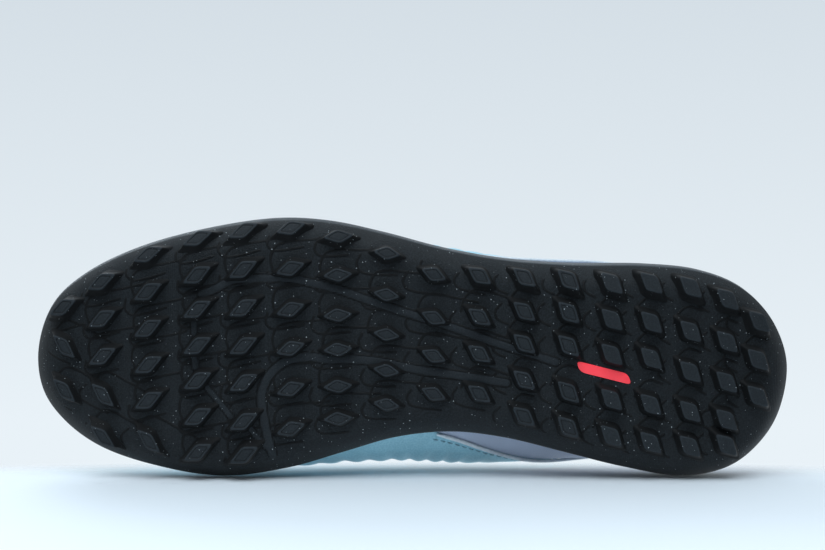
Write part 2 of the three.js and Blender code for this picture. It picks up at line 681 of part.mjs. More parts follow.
// A rounded band over the collar's edge: steps outward and up from the edge.
const bindingReach = 0.5 - at('lateral', 26);
function binding() {
  const inside = (s) => -(liningDepth(s, 1) + liningThickness + 0.1);
  const profile = [[0, 0.45], [0, 1.2], [0.2, 2.1], [0.5, 2.5], [0.8, 2.1], [1, 1.2], [1, 0.45]];
  const columns = 32;
  const rise = (s) => upper(s, 1).sub(upper(s, 0.99)).normalize();
  const points = range(columns + 1).flatMap((i) => {
    const s = 0.5 + mix(-bindingReach, bindingReach, i / columns);
    const side = normalOf(upper, s, 1);
    return profile.map(([k, up]) => upper(s, 1).addScaledVector(side, mix(0.1, inside(s), k))
      .addScaledVector(rise(s), up));
  });
  const n = profile.length;
  const triangles = [];
  for (let i = 0; i < columns; i++) {
    for (let j = 0; j < n; j++) {
      const [a, b] = [i * n + j, i * n + (j + 1) % n];
      triangles.push([a, a + n, b + n], [a, b + n, b]);
    }
  }
  const end = columns * n;
  for (let j = 1; j < n - 1; j++) triangles.push([0, j, j + 1], [end, end + j + 1, end + j]);
  return geometryFrom(points, triangles);
}

// ---- Tongue --------------------------------------------------------------------------------

// Along the tongue: x, the throat's half width and edge height there, the fall at that edge,
// and half the tongue's own width measured over its curve.
const tongueRows = [
  [0, -76, 11, 55.5, 0.08, 19], [0.14, -60, 11.5, 56.5, 0.1, 21], [0.34, -38, 13, 63.5, 0.2, 24],
  [0.52, -19, 14, 71.5, 0.42, 25], [0.68, -4, 15, 79.5, 0.62, 24], [0.8, 6, 15.5, 85.5, 0.7, 18],
  [0.9, 15, 16, 95, 0.7, 16], [1, 27, 18, 106, 0.6, 24],
];
const tongueKnot = (column) => (q) => {
  const rows = tongueRows.map((row) => new THREE.Vector2(row[0], row[column]));
  let i = 0;
  while (i < rows.length - 2 && q > rows[i + 1].x) i++;
  const slope = (k) => {
    const [a, b] = [rows[Math.max(0, k - 1)], rows[Math.min(rows.length - 1, k + 1)]];
    return (b.y - a.y) / (b.x - a.x);
  };
  const [a, b] = [rows[i], rows[i + 1]];
  const h = b.x - a.x;
  const k = (q - a.x) / h;
  return (2 * k ** 3 - 3 * k ** 2 + 1) * a.y + (k ** 3 - 2 * k ** 2 + k) * h * slope(i)
    + (-2 * k ** 3 + 3 * k ** 2) * b.y + (k ** 3 - k ** 2) * h * slope(i + 1);
};
const tongueAt = {
  x: tongueKnot(1), half: tongueKnot(2), height: tongueKnot(3), fall: tongueKnot(4), width: tongueKnot(5),
};
const tongueDrop = skinThickness + 1.6;   // the tongue's outer face below the throat's edge

// q runs from the stitched front end to the free top, p from -1 (lateral) to 1 (medial).
function tongue(q, p) {
  const patternX = tongueAt.x(q);
  const angleAtEdge = Math.atan(tongueAt.fall(q));
  const radius = tongueAt.half(q) / Math.sin(angleAtEdge);
  const angle = p * tongueAt.width(q) / radius;
  const apex = tongueAt.height(q) + radius * (1 - Math.cos(angleAtEdge));
  return new THREE.Vector3(
    gradeX(patternX),
    gradeY(along(openingMiddle, patternX) + radius * Math.sin(angle)),
    gradeZ(apex - radius * (1 - Math.cos(angle))) - tongueDrop,
  );
}
const tongueSides = range(9).map((i) => mix(-1, 1, i / 8));
const tongueEnd = (margin) => (p) => 1 - 0.07 * p ** 4 - margin;

const tongueLayer = (depth, thickness, margin) => plate(tongue, {
  from: margin, to: tongueEnd(margin), rows: tongueSides.map((p) => p * (1 - margin)), columns: 14,
  outer: -depth, inner: -depth - thickness,
});
const tongueFace = () => tongueLayer(0, tongueFaceThickness, 0);
const tongueFoam = () => tongueLayer(tongueFaceThickness + layerGap, tonguePadding, 0.03);
const tongueLining = () => tongueLayer(
  tongueFaceThickness + tonguePadding + 2 * layerGap, liningThickness, 0.01);

// A short webbing loop across the tongue, that keeps the lace in line.
const loopPlace = { from: 0.7, to: 0.76, halfWidth: 0.3 };
const tongueLoop = () => plate(tongue, {
  from: loopPlace.from, to: loopPlace.to,
  rows: range(9).map((i) => mix(-1, 1, i / 8) * loopPlace.halfWidth), columns: 3,
  outer: (q, p) => gap + 1.2 + 1.6 * (1 - (p / loopPlace.halfWidth) ** 4),
  inner: (q, p) => gap + 1.6 * (1 - (p / loopPlace.halfWidth) ** 4),
});

// ---- The shoe ------------------------------------------------------------------------------

const shoe = new THREE.Group();
function addPiece(name, geometry, color, roughness) {
  const mesh = new THREE.Mesh(geometry, new THREE.MeshStandardMaterial({ color, roughness, metalness: 0 }));
  mesh.name = name;
  shoe.add(mesh);
}

const colours = {
  rubber: 0x161a1d, inlay: 0xff3c4b, foam: 0x2a2e33, board: 0xd8d2c4, teal: 0x6a94a6,
  lavender: 0x8d9cae, piping: 0xdfe8ee, lining: 0x3c4650, padding: 0xb9bfc6, puff: 0xe4e0d6,
};

addPiece('outsole', outsole(), colours.rubber, 0.75);
addPiece('outsole_inlay', outsoleInlay(), colours.inlay, 0.5);
addPiece('midsole', midsole(), colours.foam, 0.85);
addPiece('strobel_board', flatPiece(boardInset, (s, x) => midsoleTop(x) + gap, (s, x) => boardTop(x)),
  colours.board, 0.9);
addPiece('sockliner_foam', flatPiece(sockInset, (s, x) => boardTop(x) + gap, (s, x) => sockFoamTop(x)),
  colours.padding, 0.9);
addPiece('sockliner_cloth', flatPiece(sockInset, (s, x) => sockFoamTop(x) + gap,
  (s, x) => sockFoamTop(x) + gap + sockClothThickness), colours.lining, 0.95);
addPiece('vamp', vamp(), colours.teal, 0.45);
addPiece('toe_puff', toePuff(), colours.puff, 0.8);
addPiece('heel_counter', heelCounter(), colours.puff, 0.8);
addPiece('collar_foam', collarFoam(), colours.padding, 0.95);
addPiece('vamp_lining', vampLining(), colours.lining, 0.95);
addPiece('collar_lining', collarLining(), colours.lining, 0.95);
addPiece('topline_binding', binding(), colours.lavender, 0.8);
addPiece('heel_strip', heelStrip(), colours.teal, 0.45);
for (const side of ['lateral', 'medial']) {
  addPiece(`quarter_${side}`, quarter(side), colours.teal, 0.45);
  addPiece(`heel_panel_${side}`, heelPanel(side), colours.lavender, 0.7);
  addPiece(`piping_${side}`, piping(side), colours.piping, 0.4);
  addPiece(`eyestay_${side}`, eyestay(side), colours.teal, 0.4);
}
addPiece('tongue_face', tongueFace(), colours.teal, 0.7);
addPiece('tongue_foam', tongueFoam(), colours.padding, 0.95);
addPiece('tongue_lining', tongueLining(), colours.lining, 0.95);
addPiece('tongue_loop', tongueLoop(), colours.piping, 0.8);

// Stand the shoe with the middle of its box over the origin.
const box = new THREE.Box3().setFromObject(shoe);
shoe.position.set(-(box.min.x + box.max.x) / 2, -(box.min.y + box.max.y) / 2, -box.min.z);

export default shoe;
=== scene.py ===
"""A left turf football shoe, seen from its sole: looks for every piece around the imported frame.

Millimetres are used for the shapes and turned to metres when a mesh is made. The toe is at -X,
the heel at +X, the lateral side at -Y and the medial side at +Y.
"""
import logging
import math
from dataclasses import dataclass
from enum import Enum
from typing import Callable, Optional, Sequence, Union

import bpy
import numpy as np
from mathutils import Matrix, Vector
from mathutils.kdtree import KDTree


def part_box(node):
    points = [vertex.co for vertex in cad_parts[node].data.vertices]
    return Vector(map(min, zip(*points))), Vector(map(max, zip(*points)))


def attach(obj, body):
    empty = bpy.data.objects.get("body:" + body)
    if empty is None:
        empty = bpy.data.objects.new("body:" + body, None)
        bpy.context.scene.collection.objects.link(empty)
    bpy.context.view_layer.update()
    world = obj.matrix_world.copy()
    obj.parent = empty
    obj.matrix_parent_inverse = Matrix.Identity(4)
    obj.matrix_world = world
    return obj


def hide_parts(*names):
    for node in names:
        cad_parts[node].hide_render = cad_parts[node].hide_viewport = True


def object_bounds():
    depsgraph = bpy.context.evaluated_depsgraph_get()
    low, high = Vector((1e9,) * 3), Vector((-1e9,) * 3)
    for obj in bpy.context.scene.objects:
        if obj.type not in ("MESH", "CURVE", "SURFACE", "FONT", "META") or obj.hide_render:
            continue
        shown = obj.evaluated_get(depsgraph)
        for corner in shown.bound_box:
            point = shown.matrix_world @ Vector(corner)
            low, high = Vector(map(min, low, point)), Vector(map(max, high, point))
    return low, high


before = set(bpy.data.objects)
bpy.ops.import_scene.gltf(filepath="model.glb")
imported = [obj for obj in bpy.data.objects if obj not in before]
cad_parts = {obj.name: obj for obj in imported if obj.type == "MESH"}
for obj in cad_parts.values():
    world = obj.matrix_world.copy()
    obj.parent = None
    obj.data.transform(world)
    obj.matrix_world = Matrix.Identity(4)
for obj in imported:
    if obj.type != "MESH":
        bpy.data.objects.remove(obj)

log = logging.getLogger("shoe")
CAD_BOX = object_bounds()
MM = 0.001
THREAD_LIFT = 0.12         # a stitch lies this far off the skin, in millimetres
Array = np.ndarray
Reading = Union[float, Callable[..., Array]]


class Side(Enum):
    """The two sides of a left shoe."""

    LATERAL = "lateral"
    MEDIAL = "medial"

    @property
    def sign(self) -> float:
        """Which way the side lies along Y."""
        return -1.0 if self is Side.LATERAL else 1.0


# ---- Numbers ---------------------------------------------------------------------------------


def mix(a: Reading, b: Reading, k: Reading) -> Array:
    """A value between a and b."""
    return a + (b - a) * k


def ease(k: Array) -> Array:
    """A smooth step from 0 to 1."""
    k = np.clip(k, 0.0, 1.0)
    return k * k * (3.0 - 2.0 * k)


def between(a: float, b: float, x: Array) -> Array:
    """How far x has come from a to b, eased."""
    return ease((x - a) / (b - a))


def ridge(distance: Array, width: float) -> Array:
    """1 on a line, falling smoothly to 0 at a distance of width."""
    return 1.0 - ease(np.abs(distance) / width)


def scatter(count: int, seed: int) -> Array:
    """Fixed values from 0 to 1 that look random."""
    return np.random.default_rng(seed).random(count)


def read(value: Reading, *at: Array) -> Array:
    """A number, or a function read at some places."""
    return value(*at) if callable(value) else np.broadcast_to(float(value), at[0].shape)


def hermite(k: Array, h: Array, ends: Sequence[Array], slopes: Sequence[Array]) -> Array:
    """A cubic between two values with given slopes, a share k of the way over a span of h."""
    return ((2 * k**3 - 3 * k**2 + 1) * ends[0] + (k**3 - 2 * k**2 + k) * h * slopes[0]
            + (-2 * k**3 + 3 * k**2) * ends[1] + (k**3 - k**2) * h * slopes[1])


def lengths(points: Array) -> Array:
    """How far along a line each of its points is."""
    return np.concatenate([[0], np.cumsum(np.linalg.norm(np.diff(points, axis=0), axis=1))])


class ClosedSpline:
    """A smooth closed curve of numbers through knots at places in 0..1."""

    def __init__(self, at: Sequence[float], values: Sequence[float]) -> None:
        """Args: at: the knots' places, rising. values: the numbers there."""
        s, y = np.asarray(at, float), np.asarray(values, float)
        self.s = np.concatenate([s[-2:] - 1, s, s[:3] + 1])
        self.y = np.concatenate([y[-2:], y, y[:3]])
        self.slope = np.zeros_like(self.y)
        self.slope[1:-1] = (self.y[2:] - self.y[:-2]) / (self.s[2:] - self.s[:-2])

    def __call__(self, s: Array) -> Array:
        """The number at s."""
        u = s - np.floor(s)
        i = np.clip(np.searchsorted(self.s, u, side="right") - 1, 1, len(self.s) - 3)
        h = self.s[i + 1] - self.s[i]
        return hermite((u - self.s[i]) / h, h, (self.y[i], self.y[i + 1]), (self.slope[i], self.slope[i + 1]))


def smooth_path(points: Sequence[Sequence[float]], closed: bool, samples: int) -> Array:
    """A centripetal curve through points.

    Args:
        points: the points, in any number of dimensions.
        closed: whether the last point joins the first.
        samples: how many points to return.
    Returns:
        The points along the curve, evenly spaced in its own parameter.
    """
    p = np.asarray(points, float)
    n = len(p)
    if not closed:
        p = np.vstack([2 * p[0] - p[1], p, 2 * p[-1] - p[-2]])
    t = np.linspace(0, n if closed else n - 1, samples, endpoint=not closed)
    i = np.minimum(np.floor(t).astype(int), n - (1 if closed else 2))
    w = (t - i)[:, None]
    q = [p[(i + d) % n] for d in (-1, 0, 1, 2)] if closed else [p[i + d] for d in range(4)]
    d0, d1, d2 = (np.maximum(np.linalg.norm(q[k + 1] - q[k], axis=1), 1e-6)[:, None] ** 0.5 for k in range(3))
    t1 = ((q[1] - q[0]) / d0 - (q[2] - q[0]) / (d0 + d1) + (q[2] - q[1]) / d1) * d1
    t2 = ((q[2] - q[1]) / d1 - (q[3] - q[1]) / (d1 + d2) + (q[3] - q[2]) / d2) * d1
    step = q[2] - q[1]
    return q[1] + t1 * w + (3 * step - 2 * t1 - t2) * w**2 + (t1 + t2 - 2 * step) * w**3


class Near:
    """How far places lie from a set of sample points."""

    def __init__(self, points: Array) -> None:
        """Args: points: the samples, in 2 dimensions."""
        self.tree = KDTree(len(points))
        for i, (x, y) in enumerate(points):
            self.tree.insert((x, y, 0.0), i)
        self.tree.balance()

    def __call__(self, x: Array, y: Array) -> Array:
        """The distance from each place to the nearest sample."""
        flat = [self.tree.find((a, b, 0.0))[2] for a, b in zip(np.ravel(x).tolist(), np.ravel(y).tolist())]
        return np.array(flat).reshape(np.shape(x))


# ---- The shape of the last, as the frame has it ------------------------------------------------


@dataclass(frozen=True)
class LastRow:
    """One cross-section of the last: the opening's edge and the handles that bend the side."""

    at: float
    top: tuple[float, float, float]
    lateral: tuple[float, float]
    medial: tuple[float, float]
    high: tuple[float, float]


@dataclass(frozen=True)
class Sizes:
    """Sizes in millimetres, the same as the frame's."""

    lug_height: float = 4.2
    lug_upright: float = 0.35
    toe_spring: float = 12.0
    heel_bevel: float = 3.5
    camber: float = 0.2
    outsole: float = 3.2
    cup_wall: float = 2.6
    midsole: tuple[float, float] = (3.0, 9.0)
    board: float = 1.5
    sock_foam: float = 4.0
    sock_play: float = 1.2
    sock_cloth: float = 0.8
    skin: float = 1.2
    overlay: float = 1.0
    lining: float = 0.8
    collar_padding: float = 5.0
    tongue_face: float = 1.0
    tongue_padding: float = 4.5
    eyelet: float = 4.4
    gap: float = 0.3
    layer_gap: float = 0.45
    slack: float = 0.2
    stiffener: float = 0.9


SIZE = Sizes()
OUTLINE = (
    (-148.9, 8), (-146.3, -6), (-140, -17), (-127.5, -27), (-108.7, -36), (-83.6, -43.3),
    (-52.2, -48.2), (-31.3, -47.2), (-10.4, -42.8), (12.5, -36.8), (36.6, -32.5), (62.7, -30.6),
    (92, -30.3), (112.9, -28), (129.6, -21.5), (142.1, -9), (148.4, 8), (145.8, 26.5), (139, 38.5),
    (126.4, 48.9), (107.6, 53.1), (83.6, 49.4), (59.6, 43.4), (37.6, 38), (16.7, 35.5), (-5.2, 37.4),
    (-26.1, 43.2), (-47, 49.2), (-73.1, 52.7), (-99.3, 49.2), (-123.3, 41.8), (-137.9, 32),
    (-146.3, 21.1),
)
HEEL_POINT = 16
LAST = (
    LastRow(-142.5, (-60, 0, 58.5), (3, 13), (3, 13), (40, 0)),
    LastRow(-128, (-58.5, 5.5, 58.5), (3, 13), (3, 13), (34, 0)),
    LastRow(-105, (-52, 11, 60), (3, 14), (4, 15), (26, 0)),
    LastRow(-75, (-38, 13, 65), (3, 16), (5, 18), (22, -4)),
    LastRow(-40, (-19, 14, 73), (4, 19), (19, 20), (24, -10)),
    LastRow(-10, (-2, 15.5, 81), (5, 22), (33, 18), (26, -17)),
    LastRow(20, (13, 18, 88), (7, 24), (39, 16), (23, -26)),
    LastRow(45, (33, 25, 84), (6, 24), (33, 18), (13, -27)),
    LastRow(75, (65, 29, 72), (6, 20), (14, 20), (4, -20)),
    LastRow(105, (98, 26, 69), (8, 18), (7, 18), (1, -19)),
    LastRow(128, (121, 18.5, 78), (9, 19), (8, 19), (-3, -24)),
    LastRow(142, (130.5, 0, 89), (10, 18), (10, 18), (-6, -26)),
)
OPENING_MIDDLE = ((-60, 5), (-38, 3.5), (0, 2.5), (33, 4), (65, 6.5), (98, 8.5), (131, 8.5))
HALF_STEPS = 600


class Last:
    """The outline of the sole and the surface that the upper is stretched over."""

    rim_row = 0.08
    rim_clearance = 0.7
    step = 0.002

    def __init__(self) -> None:
        """Measures the outline and sets out the splines round the shoe."""
        turns = len(OUTLINE)
        curve = smooth_path(OUTLINE, True, turns * HALF_STEPS)
        first = curve[: HEEL_POINT * HALF_STEPS + 1]
        second = np.vstack([curve[HEEL_POINT * HALF_STEPS:], curve[:1]])
        share = [lengths(half) for half in (first, second)]
        self.length = share[0][-1] + share[1][-1]
        self.s = np.concatenate([share[0] / share[0][-1] / 2, 0.5 + share[1][1:] / share[1][-1] / 2])
        self.xy = np.vstack([first, second[1:]])
        self.near = Near(self.xy[::12])
        self.toe, self.heel = OUTLINE[0][0], OUTLINE[HEEL_POINT][0]
        lat, med = Side.LATERAL, Side.MEDIAL
        self.rim_lap = ClosedSpline(
            [0, self.station(lat, -100), 0.25, self.station(lat, 100), 0.5, self.station(med, 90),
             self.station(med, 15), self.station(med, -90)],
            [6.5, 4.8, 4.5, 5.5, 7, 5, 3.6, 4.8])
        inner = LAST[1:-1]
        knots = ([(0.0, LAST[0], lat)] + [(self.station(lat, r.at), r, lat) for r in inner]
                 + [(0.5, LAST[-1], lat)] + [(self.station(med, r.at), r, med) for r in reversed(inner)])
        places = [k[0] for k in knots]
        middle = np.array(OPENING_MIDDLE, float)

        def spline(value: Callable[[LastRow, Side], float]) -> ClosedSpline:
            """One column of the last as a closed curve."""
            return ClosedSpline(places, [value(row, side) for _, row, side in knots])

        self.top = [spline(lambda r, s: r.top[0]),
                    spline(lambda r, s: np.interp(r.top[0], *middle.T) + s.sign * r.top[1]),
                    spline(lambda r, s: r.top[2])]
        self.low = [spline(lambda r, s, i=i: getattr(r, s.value)[i]) for i in (0, 1)]
        self.high = [spline(lambda r, s, i=i: r.high[i]) for i in (0, 1)]

    def edge(self, s: Array) -> Array:
        """The outline at s: 0 at the toe tip, 0.5 at the back of the heel, lateral side first."""
        u = np.asarray(s, float) - np.floor(s)
        return np.stack([np.interp(u, self.s, self.xy[:, 0]), np.interp(u, self.s, self.xy[:, 1])], -1)

    def outward(self, s: Array) -> Array:
        """The level direction away from the shoe."""
        way = self.edge(s + 0.004) - self.edge(s - 0.004)
        out = np.stack([way[..., 1], -way[..., 0]], -1)
        return out / np.linalg.norm(out, axis=-1, keepdims=True)

    def inset(self, s: Array, distance: Array) -> Array:
        """The outline moved in by a distance."""
        return self.edge(s) - self.outward(s) * np.asarray(distance)[..., None]

    def station(self, side: Side, x: float) -> float:
        """Where one side of the outline passes x."""
        start = 0.0 if side is Side.LATERAL else 0.5
        part = (self.s >= start) & (self.s <= start + 0.5)
        s, xs = self.s[part], self.xy[part, 0]
        cross = np.nonzero((xs[:-1] - x) * (xs[1:] - x) <= 0)[0]
        if not len(cross):
            return 0.0 if x < 0 else 0.5
        i = cross[0]
        return float(mix(s[i], s[i + 1], (x - xs[i]) / (xs[i + 1] - xs[i])))

    def base(self, x: Array) -> Array:
        """Height of the tread's floor, with the toe spring and the heel bevel."""
        toe = np.clip((-60 - x) / (-60 - self.toe), 0, None) ** 2 * SIZE.toe_spring
        heel = np.clip((x - 88) / (self.heel - 88), 0, None) ** 2 * SIZE.heel_bevel
        level = np.clip(x, -60, 88)
        camber = SIZE.camber * np.minimum(((level + 45.5) / 40) ** 2, ((level - 77) / 40) ** 2)
        return SIZE.lug_height + camber + toe + heel

    def midsole_rise(self, x: Array) -> Array:
        """Height of the midsole's top above the tread's floor."""
        return SIZE.outsole + SIZE.gap + mix(*SIZE.midsole, between(-45, 60, x))

    def midsole_top(self, x: Array) -> Array:
        """Height of the midsole's top."""
        return self.base(x) + self.midsole_rise(x)

    def board_top(self, x: Array) -> Array:
        """Height of the lasting board's top."""
        return self.midsole_top(x) + SIZE.gap + SIZE.board

    def rim_top(self, s: Array) -> Array:
        """Height of the rubber rim."""
        return self.midsole_top(self.edge(s)[..., 0]) + self.rim_lap(s)

    @staticmethod
    def shoulder(distance: Array) -> Array:
        """How far the rounded shoulder has risen at a distance in from the outline."""
        return 9.4 * np.clip(1 - distance / 14, 0, None) ** 3.2

    @staticmethod
    def cup_inset(rise: Array) -> Array:
        """Distance in from the outline of the cup's inside at a height above the tread's floor."""
        return np.interp(rise, [SIZE.outsole, SIZE.outsole + 2, SIZE.outsole + 5.6], [10, 5, SIZE.cup_wall])

    def foot_inset(self, s: Array) -> Array:
        """Where the skin starts, on the midsole and just inside the rubber."""
        return self.cup_inset(self.midsole_rise(self.edge(s)[..., 0])) + SIZE.layer_gap + 0.1

    def upper(self, s: Array, v: Array) -> Array:
        """A point of the upper's surface, v from the midsole up to the opening's edge."""
        foot2 = self.inset(s, self.foot_inset(s))
        foot = np.concatenate([foot2, (self.midsole_top(self.edge(s)[..., 0]) + SIZE.gap)[..., None]], -1)
        rim2 = self.inset(s, np.full(np.shape(s), SIZE.cup_wall + SIZE.layer_gap))
        rim = np.concatenate([rim2, (self.rim_top(s) + self.rim_clearance)[..., None]], -1)
        out = np.concatenate([self.outward(s), np.zeros(np.shape(s) + (1,))], -1)
        up = np.array([0.0, 0.0, 1.0])
        top = np.stack([f(s) for f in self.top], -1)
        low = rim + out * self.low[0](s)[..., None] + up * self.low[1](s)[..., None]
        high = top + out * self.high[0](s)[..., None] + up * self.high[1](s)[..., None]
        k = np.clip((v - self.rim_row) / (1 - self.rim_row), 0, None)[..., None]
        curve = (1 - k)**3 * rim + 3 * (1 - k)**2 * k * low + 3 * (1 - k) * k**2 * high + k**3 * top
        below = foot + (rim - foot) * (v / self.rim_row)[..., None]
        return np.where((v < self.rim_row)[..., None], below, curve)

    def normal(self, surface: Callable[[Array, Array], Array], s: Array, v: Array) -> Array:
        """A surface's outward direction, by small steps."""
        d = self.step
        along = surface(s + d, v) - surface(s - d, v)
        over = surface(s, np.minimum(1, v + d)) - surface(s, np.maximum(-1, v - d))
        n = np.cross(along, over)
        return n / np.linalg.norm(n, axis=-1, keepdims=True)


LASTED = Last()
ORIGIN = np.array([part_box("outsole")[0][0] / MM - LASTED.xy[:, 0].min(),
                   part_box("outsole")[0][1] / MM - LASTED.xy[:, 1].min(), 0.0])


def place(points: Array) -> Array:
    """Pattern millimetres to metres in the frame."""
    return (np.asarray(points, float) + ORIGIN) * MM


# ---- Meshes --------------------------------------------------------------------------------------


class Body(Enum):
    """The frame's moving bodies."""

    SHOE = "shoe"
    TONGUE = "tongue"
    SOCKLINER = "sockliner"


def piece(name: str, points: Array, faces: Sequence, body: Body, finish: bpy.types.Material,
          nodes: Sequence[str] = (), reads: Optional[dict[str, Array]] = None,
          crease: float = 40.0) -> bpy.types.Object:
    """Makes one mesh, puts it on its body and dresses it.

    Args:
        name: the piece's name.
        points: vertices in pattern millimetres.
        faces: lists or arrays of vertex numbers.
        body: what it moves with.
        finish: its material.
        nodes: CAD nodes it stands for.
        reads: values per vertex that its material reads.
        crease: edges sharper than this many degrees stay sharp.
    Returns:
        The object.
    """
    mesh = bpy.data.meshes.new(name)
    mesh.from_pydata(place(points).tolist(), [], [list(map(int, f)) for f in faces])
    mesh.validate()
    for key, values in (reads or {}).items():
        values = np.asarray(values, float)
        kind = "FLOAT" if values.ndim == 1 else "FLOAT_VECTOR"
        layer = mesh.attributes.new(key, kind, "POINT")
        layer.data.foreach_set("value" if values.ndim == 1 else "vector", values.astype(np.float32).ravel())
    mesh.shade_smooth()
    mesh.set_sharp_from_angle(angle=math.radians(crease))
    mesh.materials.append(finish)
    obj = bpy.data.objects.new(name, mesh)
    bpy.context.scene.collection.objects.link(obj)
    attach(obj, body.value)
    if nodes:
        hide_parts(*nodes)
    log.info("%s: %d faces on %s", name, len(mesh.polygons), body.value)
    return obj


def grid_faces(rows: int, columns: int, first: int = 0, wrap: bool = False, turn: bool = False) -> Array:
    """Quads of a grid of vertices numbered row by row.

    Args:
        rows: how many rows of vertices.
        columns: how many in each row.
        first: the first vertex's number.
        wrap: whether each row closes on itself.
        turn: whether the faces look the other way.
    Returns:
        One row of four vertex numbers per face.
    """
    r, c = np.meshgrid(np.arange(rows - 1), np.arange(columns if wrap else columns - 1), indexing="ij")
    d = (c + 1) % columns
    quads = np.stack([r * columns + c, r * columns + d, (r + 1) * columns + d, (r + 1) * columns + c], -1)
    quads = quads.reshape(-1, 4) + first
    return quads[:, ::-1] if turn else quads


def border(rows: int, columns: int) -> Array:
    """The vertices round the outside of a grid, in order."""
    return np.concatenate([np.arange(columns), np.arange(2, rows + 1) * columns - 1,
                           (rows - 1) * columns + np.arange(columns - 2, -1, -1),
                           np.arange(rows - 2, 0, -1) * columns])


def line_on(surface: Callable[[Array, Array], Array], s: Array, v: Array,
            lift: Union[Array, float]) -> tuple[Array, Array]:
    """A line on a surface, lifted off it, and the way out at each of its points."""
    out = LASTED.normal(surface, s, v)
    return surface(s, v) + out * lift, out


@dataclass
class Sheet:
    """A grid of places on a surface, from low to high and from one seam to the other."""

    surface: Callable[[Array, Array], Array]
    start: Reading
    stop: Reading
    low: Reading
    high: Reading
    rows: int
    columns: int

    def __post_init__(self) -> None:
        """Lays the grid out and measures it."""
        k, u = np.meshgrid(np.linspace(0, 1, self.rows), np.linspace(0, 1, self.columns), indexing="ij")
        guess_low = 0.05 if callable(self.low) else self.low
        guess_high = 0.9 if callable(self.high) else self.high
        guess = mix(guess_low, guess_high, k)
        self.s = mix(read(self.start, guess), read(self.stop, guess), u)
        self.v = mix(read(self.low, self.s), read(self.high, self.s), k)
        self.points = self.surface(self.s, self.v)
        self.normals = LASTED.normal(self.surface, self.s, self.v)
        across = np.linalg.norm(np.diff(self.points, axis=1), axis=2)
        up = np.linalg.norm(np.diff(self.points, axis=0), axis=2)
        self.across = np.concatenate([np.zeros((self.rows, 1)), np.cumsum(across, axis=1)], axis=1)
        self.up = np.concatenate([np.zeros((1, self.columns)), np.cumsum(up, axis=0)], axis=0)
        self.left, self.right = self.across, self.across[:, -1:] - self.across
        self.bottom, self.top = self.up, self.up[-1:] - self.up

    def edge(self, sides: str) -> Array:
        """Distance to the nearest of some edges, named by their first letters l, r, b and t."""
        named = {"l": self.left, "r": self.right, "b": self.bottom, "t": self.top}
        return np.min([named[side] for side in sides], axis=0)

    def solid(self, outer: Reading, inner: Reading, roll: float = 0.4,
              sides: str = "lrbt") -> tuple[Array, Array]:
        """A closed plate between two offsets of the surface, its outer edges rolled over.

        Args:
            outer: offset of the outer face.
            inner: offset of the inner face.
            roll: how far the outer face drops at its edges.
            sides: the edges that are rolled.
        Returns:
            Vertices and quads.
        """
        out = read(outer, self.s, self.v) - roll * (1 - ease(self.edge(sides) / 0.9)) if sides else read(
            outer, self.s, self.v)
        faces = [self.points + self.normals * o[..., None] for o in (out, read(inner, self.s, self.v))]
        n = self.rows * self.columns
        ring = border(self.rows, self.columns)
        nxt = np.roll(ring, -1)
        wall = np.stack([ring, ring + n, nxt + n, nxt], -1)
        quads = [grid_faces(self.rows, self.columns), grid_faces(self.rows, self.columns, n, turn=True), wall]
        return np.vstack([f.reshape(-1, 3) for f in faces]), np.vstack(quads)

    def lay(self) -> Array:
        """Millimetres across and up the sheet, for both faces, for a weave to follow."""
        one = np.stack([self.across, self.up, np.zeros_like(self.up)], -1).reshape(-1, 3)
        return np.vstack([one, one])


def tube(path: Array, normals: Array, width: float, height: float, sides: int = 8) -> tuple[Array, list]:
    """A closed flattened tube along a path.

    Args:
        path: points along its middle.
        normals: which way is up at each point.
        width: across, in millimetres.
        height: up, in millimetres.
        sides: points around it.
    Returns:
        Vertices and faces.
    """
    way = np.gradient(path, axis=0)
    way /= np.maximum(np.linalg.norm(way, axis=1, keepdims=True), 1e-9)
    side = np.cross(way, normals)
    side /= np.maximum(np.linalg.norm(side, axis=1, keepdims=True), 1e-9)
    up = np.cross(side, way)
    a = np.linspace(0, 2 * np.pi, sides, endpoint=False)
    n = len(path)
    taper = np.ones(n)
    taper[[0, -1]] = 0.55
    points = (path[:, None] + side[:, None] * (np.cos(a) * width / 2)[None, :, None] * taper[:, None, None]
              + up[:, None] * (np.sin(a) * height / 2)[None, :, None] * taper[:, None, None]).reshape(-1, 3)
    faces = [list(q) for q in grid_faces(n, sides, wrap=True)]
    faces += [list(range(sides))[::-1], list(range((n - 1) * sides, n * sides))]
    return points, faces


def stitches(path: Array, normals: Array, length: float = 2.2, pitch: float = 3.1,
             thread: float = 0.62) -> tuple[Array, list]:
    """Thread stitches in a row along a path.

    Args:
        path: points along the row.
        normals: the surface's direction there.
        length: of one stitch.
        pitch: from one stitch to the next.
        thread: its thickness.
    Returns:
        Vertices and faces of every stitch.
    """
    gone = lengths(path)
    points, faces, count = [], [], 0
    bow = np.array([-0.35, 0.12, 0.2, 0.12, -0.35]) * thread
    for start in np.arange(pitch / 2, gone[-1] - length, pitch):
        at = np.linspace(start, start + length, 5)
        line = np.stack([np.interp(at, gone, path[:, i]) for i in range(3)], -1)
        up = np.stack([np.interp(at, gone, normals[:, i]) for i in range(3)], -1)
        p, f = tube(line + up * bow[:, None], up, thread, thread * 0.8, 6)
        points.append(p)
        faces += [[i + count for i in face] for face in f]
        count += len(p)
    return np.vstack(points), faces


def joined(parts: Sequence[tuple[Array, Sequence]]) -> tuple[Array, list]:
    """Several meshes as one list of vertices and one of faces."""
    points, faces, count = [], [], 0
    for p, f in parts:
        points.append(p)
        faces += [[int(i) + count for i in face] for face in f]
        count += len(p)
    return np.vstack(points), faces


# ---- Finishes --------------------------------------------------------------------------------------


